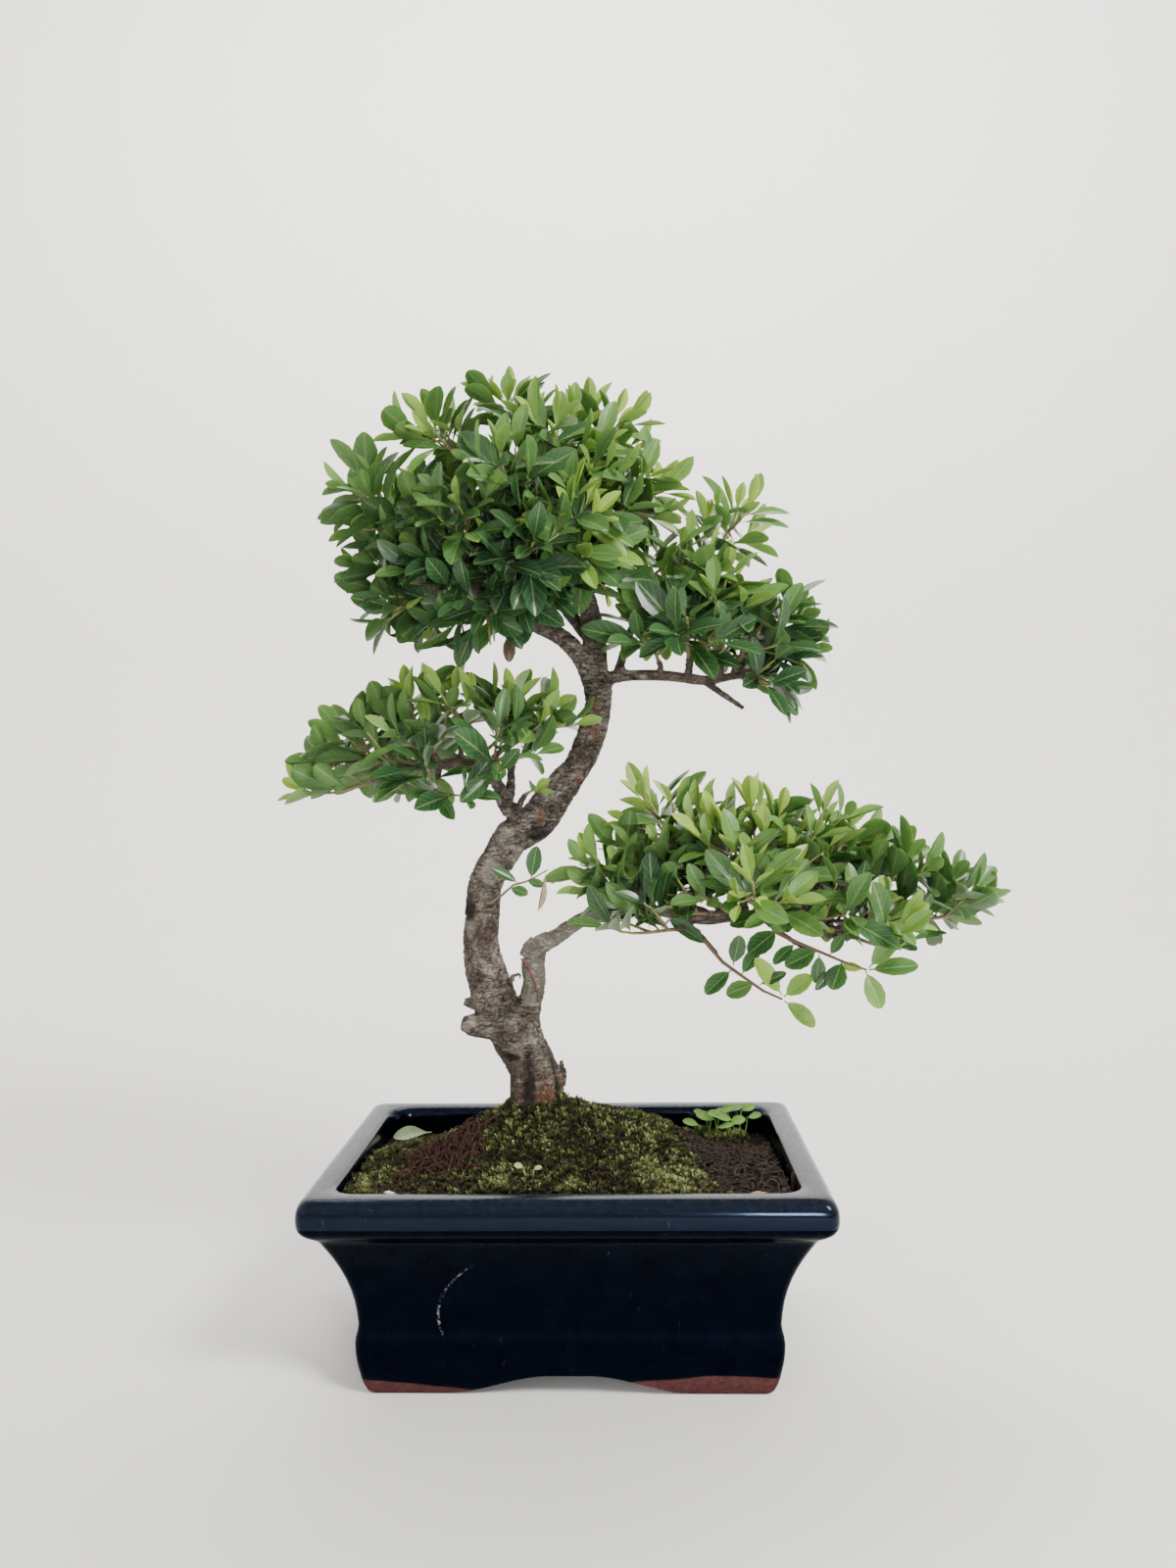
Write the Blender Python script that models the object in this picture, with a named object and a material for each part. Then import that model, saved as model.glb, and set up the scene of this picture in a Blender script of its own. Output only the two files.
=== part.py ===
"""Holly bonsai in a glazed pot: the woody skeleton, leafy sprays, moss, soil and pot as separate solids.

Lengths are millimetres here and become metres, by MM, where a mesh is made. X runs to the right, Y away
from the front and Z up. Every route is laid out from the middle of the pot's mouth, on the surface that
the pot stands on, and place_at_origin then centres the whole plant over the origin.
"""

import math
import random

import bpy
from mathutils import Vector
from mathutils.bvhtree import BVHTree

MM = 0.001
GAP = 0.3
GOLDEN_ANGLE = math.radians(137.508)
UP = Vector((0.0, 0.0, 1.0))

# Pot: outer size over the rim, and how far its profile is drawn in
POT_LENGTH = 210.0
POT_DEPTH = 150.0
POT_HEIGHT = 84.0
RIM_WIDTH = 13.0
LIP_HEIGHT = 8.0
WALL = 7.0
WAIST_INSET = 20.0
WAIST_HEIGHT = 28.0
FLARE_POWER = 1.85
BAND_INSET = 19.2
BAND_HEIGHT = 18.0
FOOT_INSET = 24.0
FOOT_THICKNESS = 13.0
RECESS_HEIGHT = 12.0
ARCH_HEIGHT = 8.5
ARCH_HALF_SPANS = {"front": (51.0, 25.0), "side": (30.0, 13.0)}
FLOOR_TOP = 18.5
CORNER_RADIUS = 9.0
CORNER_STEPS = 3
DRAIN_RADIUS = 9.0
DRAIN_X = 38.0

# Screens over the drain holes
SCREEN_PITCH = 6.5
SCREEN_BAR = 1.7
SCREEN_HOLES = 3
SCREEN_THICKNESS = 1.2

# Soil and moss
SOIL_AT_WALL = 75.7
SOIL_TILT = 3.3
MOSS_REACH_X = (54.0, 74.0)
MOSS_REACH_Y = (60.0, 42.0)
MOSS_SQUARENESS = 2.6
MOSS_EDGE = 1.2
MOSS_SWELL = 3.2
MOSS_RING_SHARES = (0.0, 0.35, 0.7, 0.93, 1.0)
TRUNK_AT = (-15.9, 4.0)
TRUNK_HOLE_RADIUS = 14.2
TRUNK_FOOT_BOTTOM = 80.0
SOIL_SECTORS = 16

# Woody parts as (x, y, z, radius) along their middle
ROUTES = {
    "trunk": (
        (-15.9, 4, 80.0, 12.4), (-15.9, 4, 100.1, 12.6), (-17.9, 4, 116.7, 10.6), (-24.7, 3, 130.9, 11.3),
        (-32.8, 2, 143.3, 10.0), (-37.7, 1, 160.9, 9.3), (-39.6, 0, 172.3, 7.9), (-38.7, -1, 184.2, 7.7),
        (-37.0, -2, 200.0, 7.6), (-30.8, -1, 211.8, 7.8), (-24.7, 0, 220.4, 8.2), (-14.3, 1, 227.2, 8.7),
        (-6.4, 2, 238.0, 8.0), (3.8, 3, 250.9, 6.4), (10.0, 3, 264.4, 6.5), (13.3, 2, 279.1, 6.0),
        (13.4, 1, 287.7, 6.6),
    ),
    "leader": (
        (13.3, 1, 282.0, 5.6), (12.1, 2, 295.2, 5.9), (11.8, 4, 309.4, 5.5), (9.3, 6, 322.9, 4.6),
        (5.0, 9, 340.3, 4.0), (-3.7, 10, 358.3, 3.1), (-12.2, 8, 375.7, 2.4),
    ),
    "crown_left": (
        (13.0, 2, 284.0, 4.6), (4.9, 0, 300.3, 4.3), (-1.4, -4, 306.9, 4.1), (-13.8, -10, 312.7, 3.4),
        (-30.1, -16, 322.6, 2.7), (-46.4, -20, 331.5, 2.1),
    ),
    "crown_back": (
        (11.8, 4, 306.0, 3.6), (3.0, 17, 318.0, 3.0), (-8.0, 29, 334.0, 2.4), (-18.0, 36, 352.0, 1.8),
    ),
    "right_up": (
        (13.4, 2, 288.0, 3.4), (18.6, 4, 290.1, 3.1), (30.9, 6, 291.4, 2.6), (45.4, 8, 291.0, 2.5),
        (61.9, 6, 288.8, 2.3), (73.3, 2, 290.0, 1.9),
    ),
    "right_up_drop": ((60.0, 6, 289.0, 1.8), (69.5, 0, 281.2, 1.5), (77.2, -4, 275.2, 1.2)),
    "right_up_sub": (
        (13.4, 3, 284.0, 2.6), (22.1, 8, 293.1, 2.2), (25.3, 12, 303.0, 2.0), (30.0, 12, 316.0, 1.8),
        (38.0, 8, 330.0, 1.5),
    ),
    "left_arm": (
        (-18.0, 0, 224.0, 4.6), (-23.2, -1, 229.5, 4.3), (-28.2, -3, 235.2, 3.7), (-31.2, -6, 243.9, 3.0),
        (-36.7, -10, 249.9, 2.8), (-46.0, -13, 252.4, 2.4), (-58.4, -16, 251.3, 1.9), (-75.0, -18, 248.9, 1.7),
    ),
    "left_arm_up": ((-27.5, -2, 234.0, 2.8), (-26.0, 2, 242.0, 2.3), (-26.0, 8, 252.0, 1.9)),
    "low_arm": (
        (-19.0, 3, 131.0, 6.2), (-20.0, 2, 140.0, 5.4), (-16.5, 2, 154.1, 4.8), (-16.2, 0, 166.1, 4.9),
        (-13.9, -1, 171.4, 4.4), (-6.8, -3, 175.5, 3.3), (0.7, -5, 180.8, 3.0), (9.0, -8, 185.4, 2.8),
        (20.9, -10, 187.2, 2.8), (42.0, -13, 187.7, 2.7), (58.8, -14, 184.7, 3.1), (69.2, -14, 185.5, 2.7),
        (83.1, -14, 184.9, 2.5), (103.1, -14, 180.6, 2.1), (118.2, -13, 175.3, 1.8),
    ),
    "low_back": (
        (38.0, -12, 187.6, 2.2), (48.0, 2, 192.0, 1.9), (62.0, 16, 195.0, 1.6), (80.0, 26, 197.0, 1.3),
    ),
    "low_drop_a": ((44.0, -13, 187.0, 1.6), (55.1, -17, 178.8, 1.3), (63.1, -20, 170.0, 1.1)),
    "low_drop_b": ((84.0, -14, 184.0, 1.6), (95.6, -19, 175.0, 1.3), (104.7, -21, 171.0, 1.1)),
    "knob_left": (
        (-28.0, 1, 136.0, 6.6), (-37.2, -2, 136.7, 6.0), (-44.3, -4, 137.6, 4.7), (-48.0, -5, 138.7, 3.0),
    ),
    "knob_upper": ((-37.0, -3, 147.0, 3.4), (-43.5, -7, 148.0, 2.9), (-46.5, -8, 148.6, 1.8)),
    "knob_fork": ((-20.0, -2, 168.0, 3.2), (-17.5, -4.5, 172.5, 2.9), (-16.0, -5.5, 175.5, 1.6)),
    "dead_stub": (
        (-12.0, 6, 103.0, 3.2), (-7.0, 8, 106.5, 2.4), (-4.7, 10, 112.0, 1.8), (-5.2, 10, 118.5, 0.8),
    ),
}
TUBE_SIDES = {"trunk": 10, "low_arm": 6, "leader": 6}
BRANCH_SIDES = 5
WOODY_TWIG_SIDES = 3
STEM_SIDES = 4
BARK_RELIEF = 0.07

# Foliage pads: where their shoots fan out from, what carries them, how much they turn up, and the
# furthest leaf tip of each spray
PADS = {
    "crown": {
        "focus": (-22, 0, 350),
        "lift": 0.25,
        "parents": ("leader", "crown_left", "crown_back"),
        "tips": (
            (-24.2, 0, 427.5), (-63.8, -12, 410.9), (-102.3, -12, 377.9), (-102.9, 5, 343.5),
            (-85.0, -18, 308.0), (-38.9, -38, 301.9), (-44.3, -60, 359.0), (-8.2, -66, 339.7),
            (19.2, -56, 353.0), (49.2, 0, 381.2), (28.0, 12, 416.9), (1.0, -30, 404.8),
            (-80.0, 48, 385.0), (-35.0, 62, 400.0), (18.2, 58, 378.0), (-36.0, 62, 338.0),
        ),
    },
    "right": {
        "focus": (55, 2, 300),
        "lift": 0.35,
        "parents": ("right_up", "right_up_drop", "right_up_sub"),
        "tips": (
            (78.0, 0, 373.3), (72.7, -20, 342.0), (110.0, -5, 317.9), (50.5, -42, 317.9),
            (98.7, -12, 279.0), (82.5, 38, 316.5), (46.0, 40, 345.0),
        ),
    },
    "left": {
        "focus": (-55, -5, 246),
        "lift": 0.3,
        "parents": ("left_arm", "left_arm_up"),
        "tips": (
            (-109.9, 0, 269.7), (-124.5, -10, 244.0), (-75.6, 10, 292.9), (-56.0, -32, 241.5),
            (1.8, -14, 283.1), (-16.3, -38, 262.1), (-76.0, 40, 265.0),
        ),
    },
    "low": {
        "focus": (85, -10, 182),
        "lift": 0.45,
        "parents": ("low_arm", "low_back", "low_drop_a", "low_drop_b"),
        "tips": (
            (3.2, -5, 216.4), (30.3, 5, 245.0), (9.1, -40, 188.7), (79.3, -5, 242.0), (73.2, -58, 211.2),
            (129.1, 0, 232.1), (155.5, 22, 216.8), (187.5, -12, 195.6), (144.1, -48, 191.1),
            (98.6, -26, 146.1), (130.1, -28, 155.6), (54.0, 46, 219.2), (108.0, 50, 213.7),
        ),
    },
}
LOWEST_CARRIER_X = 24.0

# Leafy sprays: how a twig leaves its branch, where its shoots' leaves sit, and the leaves' size
HEEL_SHARE = 0.6
LEAF_REACH = 11.0
LIFTED_ABOVE = -0.35
DROOP = -0.1
SHOOT_LENGTH = 30.0
WOODY_RADII = (1.8, 1.5, 1.25)
STEM_RADII = (1.05, 0.6)
SIDE_RADII = (0.85, 0.55)
MAIN_LEVELS = (1.0, 9.5, 18.5, 26.5)
SIDE_SHOOT_LEVELS = (1.0, 9.0)
LEVEL_HALF = 0.75
LONG_BARE_STEM = 8.0
LEAVES_PER_LEVEL = 3
SIDE_LEVELS = (2, 3, 1, 3, 2)
SIDE_LENGTHS = (20.0, 18.0, 15.0, 20.0, 18.0)
SIDE_ANGLE = math.radians(52)
SIDES_KEPT = 2
LEAVES_KEPT = 11
SMALL_LEAVES = 5
LEAF_LENGTH = (13.5, 21.0)
LEAF_FORM = {"leaf": (1.0, 0.44), "small": (0.75, 0.52), "seedlings": (0.42, 0.75), "sprout": (0.42, 0.6)}
LEAF_THICKNESS = 0.7
LEAF_DROOP = 0.16
LEAF_SPREAD = (24.0, 72.0)
SITES_TO_FULL_SIZE = 5.0
SKY_PULL = 0.7
CLEARANCE = 0.45
BASE_LEFT_OUT = 0.3
SMALL_SHOOTS = {
    "trunk_spray": (((-37, -2, 191.5), (-31, -8, 194), (-23, -12, 199), (-13.5, -15, 203.5)), 17.0),
    "bud_spray": (((-22, -2, 231.0), (-22, -4, 236), (-19, -9, 239), (-14.5, -12, 240.7)), 7.0),
}

# Small things on and round the tree: stations of the dead leaf (drop, half width), the caught twig's
# (x, z, radius), the fallen leaf's (x, half width), the stones' place and half sizes, and for the tiny
# plants the place, the stem's curve from its foot, its leafy levels and how many leaves it has
DRIED_LEAF_STATIONS = ((3.5, 1.1), (8.0, 2.3), (13.0, 2.4), (16.5, 1.0))
CAUGHT_TWIG = ((-20.3, 166.0, 0.6), (-18.6, 161.0, 0.7), (-16.6, 155.5, 0.7), (-13.8, 149.5, 0.5))
FALLEN_LEAF_Y = 42.0
FALLEN_LEAF_STATIONS = ((-87.0, 1.0), (-84.0, 3.3), (-79.0, 4.2), (-74.0, 3.0), (-70.5, 0.8), (-67.5, 0.5))
FALLEN_LEAF_LEAN = math.radians(38)
STEM_HOLE_RADIUS = 1.6
STEM_FOOT_DEPTH = 3.5
GROUND_SHOOTS = {
    "seedlings": ((62.0, 43.0), ((0, 0, 0), (0, 0, 16), (9, 2, 17), (21, 1, 12)), (1.0, 6.5, 12.0, 17.5), 10),
    "sprout": ((-13.7, -44.0), ((0, 0, 0), (0, 0, 3), (0.5, 0, 6), (0.5, 0, 8.5)), (1.0,), 2),
}
PEBBLES = {"pebble_white": ((-70.5, -55.5), (3.4, 2.6, 2.0), "pale_stone"),
           "pebble_orange": ((76.5, -55.5), (5.0, 2.6, 2.0), "orange_stone")}

# Half-outline of a leaf: share of its length, share of its half width
LEAF_OUTLINE = ((0.55, 1.0), (0.94, 0.48))

COLOURS = {
    "glaze": ((0.008, 0.010, 0.022), 0.12),
    "soil": ((0.045, 0.030, 0.020), 0.95),
    "moss": ((0.11, 0.14, 0.025), 0.95),
    "bark": ((0.36, 0.30, 0.24), 0.85),
    "leaf": ((0.045, 0.14, 0.025), 0.35),
    "young_leaf": ((0.20, 0.36, 0.05), 0.45),
    "dead_leaf": ((0.30, 0.19, 0.10), 0.8),
    "screen": ((0.03, 0.03, 0.03), 0.6),
    "pale_stone": ((0.70, 0.67, 0.60), 0.8),
    "orange_stone": ((0.48, 0.22, 0.08), 0.8),
}


def clear_scene():
    """Remove whatever the open file holds."""
    for item in list(bpy.data.objects):
        bpy.data.objects.remove(item)


def make_material(name):
    """Return the Principled material of one of COLOURS."""
    colour, roughness = COLOURS[name]
    material = bpy.data.materials.get(name) or bpy.data.materials.new(name)
    material.use_nodes = True
    shader = material.node_tree.nodes["Principled BSDF"]
    shader.inputs["Base Color"].default_value = (*colour, 1.0)
    shader.inputs["Roughness"].default_value = roughness
    shader.inputs["Metallic"].default_value = 0.0
    return material


def add_solid(name, shape, finish, smooth=True):
    """Make one named object from a shape, which is its points in millimetres and its faces."""
    points, faces = shape
    mesh = bpy.data.meshes.new(name)
    mesh.from_pydata([Vector(point) * MM for point in points], [], faces)
    mesh.update()
    mesh.materials.append(make_material(finish))
    if smooth:
        mesh.shade_smooth()
        mesh.set_sharp_from_angle(angle=math.radians(40))
    solid = bpy.data.objects.new(name, mesh)
    bpy.context.scene.collection.objects.link(solid)
    return solid


def apply_boolean(solid, operation, tools, solver="EXACT"):
    """Join the tools to a solid or cut them from it, then remove them."""
    group = bpy.data.collections.new(solid.name + "_tools")
    bpy.context.scene.collection.children.link(group)
    for tool in tools:
        bpy.context.scene.collection.objects.unlink(tool)
        group.objects.link(tool)
        tool.hide_render = True
        tool.display_type = "WIRE"
    modifier = solid.modifiers.new("join", "BOOLEAN")
    modifier.operation = operation
    modifier.operand_type = "COLLECTION"
    modifier.collection = group
    modifier.solver = solver
    bpy.context.view_layer.update()
    with bpy.context.temp_override(object=solid, active_object=solid, selected_objects=[solid]):
        bpy.ops.object.modifier_apply(modifier=modifier.name)
    for tool in tools:
        bpy.data.objects.remove(tool)
    bpy.data.collections.remove(group)


def loft(rings, closed=False):
    """Join rings of points, listed from the bottom of a shape upwards on its outside, into one solid."""
    sides = len(rings[0])
    points = [point for ring in rings for point in ring]
    faces = []
    steps = len(rings) if closed else len(rings) - 1
    for step in range(steps):
        low = step * sides
        high = (step + 1) % len(rings) * sides
        for side in range(sides):
            after = (side + 1) % sides
            faces.append((low + side, low + after, high + after))
            faces.append((low + side, high + after, high + side))
    if not closed:
        faces.append(tuple(reversed(range(sides))))
        faces.append(tuple(range(len(points) - sides, len(points))))
    return points, faces


def rounded_ring(inset, height):
    """Return the pot's outline, drawn in by an inset, anticlockwise as seen from above."""
    radius = max(3.0, CORNER_RADIUS - 0.15 * inset)
    half_x = POT_LENGTH / 2 - inset - radius
    half_y = POT_DEPTH / 2 - inset - radius
    ring = []
    for corner, (sign_x, sign_y) in enumerate(((1, 1), (-1, 1), (-1, -1), (1, -1))):
        for step in range(CORNER_STEPS + 1):
            angle = math.radians(90) * (corner + step / CORNER_STEPS)
            ring.append((sign_x * half_x + radius * math.cos(angle),
                         sign_y * half_y + radius * math.sin(angle), height))
    return ring


def flare_inset(height):
    """Return how far the pot's outer wall is drawn in between its waist and its lip."""
    share = (height - WAIST_HEIGHT) / (POT_HEIGHT - LIP_HEIGHT - WAIST_HEIGHT)
    return WAIST_INSET * (1.0 - max(0.0, share) ** FLARE_POWER)


def inner_profile():
    """Return the pot's inner wall as (inset, height) from the floor up to the mouth."""
    profile = [(WAIST_INSET + WALL + 5.0, FLOOR_TOP), (WAIST_INSET + WALL + 0.6, FLOOR_TOP + 4.0)]
    for height in (WAIST_HEIGHT, 50.0, 62.0):
        profile.append((flare_inset(height) + WALL, height))
    profile.append((RIM_WIDTH + 0.8, 71.0))
    return profile


def build_pot():
    """Build the glazed pot with its rim, waist, feet and drain holes."""
    outer = [(FOOT_INSET, 0.0), (FOOT_INSET - 2.6, 3.6), (FOOT_INSET - 4.0, 10.0), (BAND_INSET, BAND_HEIGHT),
             (BAND_INSET + 0.2, BAND_HEIGHT + 6.0)]
    lip_bottom = POT_HEIGHT - LIP_HEIGHT
    for height in (WAIST_HEIGHT, 42.0, 53.0, 62.0, 69.5):
        outer.append((flare_inset(height), height))
    outer += [(0.4, lip_bottom - 1.0), (0.0, lip_bottom + 0.6), (0.0, POT_HEIGHT - 2.4), (1.6, POT_HEIGHT)]
    inner = [(RIM_WIDTH - 1.4, POT_HEIGHT), (RIM_WIDTH, POT_HEIGHT - 1.6)]
    inner += list(reversed(inner_profile()))
    pot = add_solid("pot", loft([rounded_ring(*station) for station in outer + inner]), "glaze")

    reach = POT_LENGTH
    recess_inset = FOOT_INSET + FOOT_THICKNESS
    cutters = [add_solid("recess", loft([rounded_ring(recess_inset, -2.0),
                                         rounded_ring(recess_inset, RECESS_HEIGHT)]), "glaze")]
    for side, (foot_span, top_span) in ARCH_HALF_SPANS.items():
        outline = []
        for step in range(-5, 6):
            share = (5 - abs(step)) / 5
            across = math.copysign(foot_span - (foot_span - top_span) * share, step) if step else 0.0
            rise = ARCH_HEIGHT * (3 * share ** 2 - 2 * share ** 3)
            outline.append((across, rise))
        outline = [(-foot_span - 1.0, -2.0)] + outline + [(foot_span + 1.0, -2.0)]
        if side == "front":
            rings = [[(across, depth, rise) for across, rise in outline] for depth in (reach, -reach)]
        else:
            rings = [[(depth, across, rise) for across, rise in outline] for depth in (-reach, reach)]
        cutters.append(add_solid(side + "_arch", loft([ring[::-1] for ring in rings]), "glaze"))
    for place in (-DRAIN_X, DRAIN_X):
        rings = [circle((place, 0.0, height), DRAIN_RADIUS, 12) for height in (2.0, FLOOR_TOP + 6.0)]
        cutters.append(add_solid("drain", loft(rings), "glaze"))
    apply_boolean(pot, "DIFFERENCE", cutters)
    return pot


def circle(centre, radius, sides):
    """Return a level ring of points, anticlockwise as seen from above."""
    turns = [2 * math.pi * side / sides for side in range(sides)]
    return [(centre[0] + radius * math.cos(turn), centre[1] + radius * math.sin(turn), centre[2])
            for turn in turns]


def box_shape(low, high):
    """Return a plain block between two corners."""
    rings = []
    for height in (low[2], high[2]):
        rings.append([(low[0], low[1], height), (high[0], low[1], height),
                      (high[0], high[1], height), (low[0], high[1], height)])
    return loft(rings)


def build_screens():
    """Build the plastic screens that lie on the pot's floor over its drain holes."""
    half = (SCREEN_HOLES * SCREEN_PITCH + SCREEN_BAR) / 2
    low = FLOOR_TOP + GAP
    screens = []
    for side, place in (("left", -DRAIN_X), ("right", DRAIN_X)):
        plate = box_shape((place - half, -half, low), (place + half, half, low + SCREEN_THICKNESS))
        screen = add_solid("drain_mesh_" + side, plate, "screen", smooth=False)
        holes = []
        for column in range(SCREEN_HOLES):
            for row in range(SCREEN_HOLES):
                x = place - half + SCREEN_BAR + column * SCREEN_PITCH
                y = -half + SCREEN_BAR + row * SCREEN_PITCH
                size = SCREEN_PITCH - SCREEN_BAR
                hole = box_shape((x, y, low - 2.0), (x + size, y + size, low + SCREEN_THICKNESS + 2.0))
                holes.append(add_solid("hole", hole, "screen", smooth=False))
        apply_boolean(screen, "DIFFERENCE", holes)
        screens.append(screen)
    return screens


def soil_height(x, y):
    """Return the height of the soil's surface: a mound at the trunk, a lower one to its right."""
    mound = 24.5 * math.exp(-((x + 14.0) / 40.0) ** 2 - (y / 36.0) ** 2)
    shoulder = 11.0 * math.exp(-((x - 34.0) / 26.0) ** 2 - ((y - 2.0) / 28.0) ** 2)
    return SOIL_AT_WALL - SOIL_TILT * y / 60.0 + mound + shoulder


def moss_outline(angle):
    """Return how far the main moss mat reaches from the trunk in one direction."""
    reach_x = MOSS_REACH_X[math.cos(angle) > 0]
    reach_y = MOSS_REACH_Y[math.sin(angle) > 0]
    across = abs(math.cos(angle) / reach_x) ** MOSS_SQUARENESS
    deep = abs(math.sin(angle) / reach_y) ** MOSS_SQUARENESS
    return (across + deep) ** (-1.0 / MOSS_SQUARENESS) * (1.0 + 0.04 * math.sin(5 * angle + 2.1))


def mound_point(share, sector, hole_radius):
    """Return where a ring of the main moss mat crosses one of the soil's sectors, on the soil."""
    angle = 2 * math.pi * sector / SOIL_SECTORS
    reach = hole_radius + (moss_outline(angle) - hole_radius) * share
    x = TRUNK_AT[0] + reach * math.cos(angle)
    y = TRUNK_AT[1] + reach * math.sin(angle)
    return Vector((x, y, soil_height(x, y)))


def wall_point(sector):
    """Return where one of the soil's sectors meets the pot's inner wall, at the soil's height."""
    angle = 2 * math.pi * sector / SOIL_SECTORS
    heading = Vector((math.cos(angle), math.sin(angle)))
    edge = [Vector(point[:2]) for point in rounded_ring(RIM_WIDTH + 0.8 + GAP + 0.1, 0.0)]
    start = Vector(TRUNK_AT)
    for first, second in zip(edge, edge[1:] + edge[:1]):
        along = second - first
        cross = heading.x * along.y - heading.y * along.x
        if abs(cross) < 1e-9:
            continue
        offset = first - start
        distance = (offset.x * along.y - offset.y * along.x) / cross
        share = (offset.x * heading.y - offset.y * heading.x) / cross
        if distance > 0 and 0 <= share <= 1:
            place = start + heading * distance
            return Vector((place.x, place.y, soil_height(place.x, place.y)))
    raise ValueError("no wall in this direction")


def build_soil():
    """Build the soil: it fills the pot, rises to the trunk and has a plain hole for the trunk's foot."""
    profile = [(inset + GAP + 0.1, height) for inset, height in inner_profile()]
    profile[0] = (profile[0][0], FLOOR_TOP + GAP)
    walls = add_solid("soil", loft([rounded_ring(*station) for station in profile + [
        (RIM_WIDTH + 0.8 + GAP + 0.1, POT_HEIGHT + 40.0)]]), "soil")

    sectors = range(SOIL_SECTORS)
    outer = []
    for sector in sectors:
        edge = wall_point(sector)
        beyond = edge + (edge - Vector((*TRUNK_AT, edge.z))) * 0.3
        outer.append(Vector((beyond.x, beyond.y, edge.z)))
    rings = [[Vector((point.x, point.y, POT_HEIGHT + 60.0)) for point in outer], outer,
             [wall_point(sector) for sector in sectors]]
    rings += [[mound_point(share, sector, TRUNK_HOLE_RADIUS + 1.3) for sector in sectors]
              for share in reversed(MOSS_RING_SHARES)]
    for height in (soil_height(*TRUNK_AT), TRUNK_FOOT_BOTTOM - GAP):
        rings.append(circle((*TRUNK_AT, height), TRUNK_HOLE_RADIUS, SOIL_SECTORS))
    top_cutter = add_solid("above_soil", loft([ring[::-1] for ring in rings]), "soil")
    half = (SCREEN_HOLES * SCREEN_PITCH + SCREEN_BAR) / 2 + GAP
    cutters = [top_cutter]
    for place in (-DRAIN_X, DRAIN_X):
        pocket = box_shape((place - half, -half, FLOOR_TOP - 5.0),
                           (place + half, half, FLOOR_TOP + SCREEN_THICKNESS + 2 * GAP))
        cutters.append(add_solid("pocket", pocket, "soil", smooth=False))
    apply_boolean(walls, "DIFFERENCE", cutters)
    return walls


def build_mound_moss():
    """Build the main moss mat, which lies on the soil round the trunk."""
    rings = []
    for share in MOSS_RING_SHARES:
        ring = [mound_point(share, sector, TRUNK_HOLE_RADIUS + 1.3) for sector in range(SOIL_SECTORS)]
        rings.append([point + UP * GAP for point in ring])
    for share in reversed(MOSS_RING_SHARES):
        top = []
        for sector, point in enumerate(rings[MOSS_RING_SHARES.index(share)]):
            swell = MOSS_SWELL * (1.0 - share ** 3) * (1.0 + 0.25 * math.sin(2.7 * sector + 5.0 * share))
            top.append(point + UP * (MOSS_EDGE + swell))
        rings.append(top)
    return add_solid("moss_mound", loft(rings, closed=True), "moss")


def surfaces(*solids):
    """Return the surfaces of some solids as one shape, in millimetres."""
    points = []
    faces = []
    for solid in solids:
        start = len(points)
        points += [vertex.co / MM for vertex in solid.data.vertices]
        faces += [[start + index for index in face.vertices] for face in solid.data.polygons]
    return points, faces


def height_on(tree, x, y):
    """Return the height of the surface below a place."""
    hit = tree.ray_cast(Vector((x, y, 200.0)), -UP)[0]
    return hit.z


def build_moss_patch(name, centre, reach, tree):
    """Build a smaller moss mat as a low cushion that follows the soil."""
    sectors = 12
    shares = (1.0, 0.55)
    rings = []
    for top, share in ((False, 0.55), (False, 1.0), (True, 1.0), (True, 0.55)):
        ring = []
        for sector in range(sectors):
            angle = 2 * math.pi * sector / sectors
            wave = 1.0 + 0.12 * math.sin(3 * angle + centre[0]) + 0.06 * math.sin(5 * angle)
            x = centre[0] + reach[0] * share * wave * math.cos(angle)
            y = centre[1] + reach[1] * share * wave * math.sin(angle)
            rise = MOSS_EDGE + (2.4 if share < 1.0 else 0.0) if top else 0.0
            ring.append((x, y, height_on(tree, x, y) + 2 * GAP + rise))
        rings.append(ring)
    return add_solid(name, loft(rings), "moss")


def unit_across(direction):
    """Return a steady direction square to the one given."""
    guide = UP if abs(direction.z) < 0.9 else Vector((1.0, 0.0, 0.0))
    return direction.cross(guide).normalized()


def tube(route, sides, relief=0.0, end_heading=None):
    """Return a closed tube along a route of (x, y, z, radius), with flat ends square to it."""
    middle = [Vector(point[:3]) for point in route]
    rings = []
    across = None
    for index, centre in enumerate(middle):
        before = middle[max(index - 1, 0)]
        after = middle[min(index + 1, len(middle) - 1)]
        along = (after - before).normalized()
        if end_heading is not None and index == len(middle) - 1:
            along = end_heading
        if across is None:
            across = unit_across(along)
        across = (across - along * across.dot(along)).normalized()
        third = along.cross(across)
        ring = []
        for side in range(sides):
            angle = 2 * math.pi * side / sides
            waves = math.sin(3 * angle + 1.7 * index) + 0.6 * math.sin(5 * angle - 2.3 * index)
            swell = 1.0 + relief * waves
            reach = route[index][3] * swell
            ring.append(centre + across * (reach * math.cos(angle)) + third * (reach * math.sin(angle)))
        rings.append(ring)
    return loft(rings)


def bezier(anchors, share):
    """Return the point and the heading at a share of a four-point curve."""
    a, b, c, d = anchors
    rest = 1.0 - share
    place = a * rest ** 3 + b * (3 * rest ** 2 * share) + c * (3 * rest * share ** 2) + d * share ** 3
    heading = (b - a) * rest ** 2 + (c - b) * (2 * rest * share) + (d - c) * share ** 2
    return place, heading.normalized()


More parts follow.
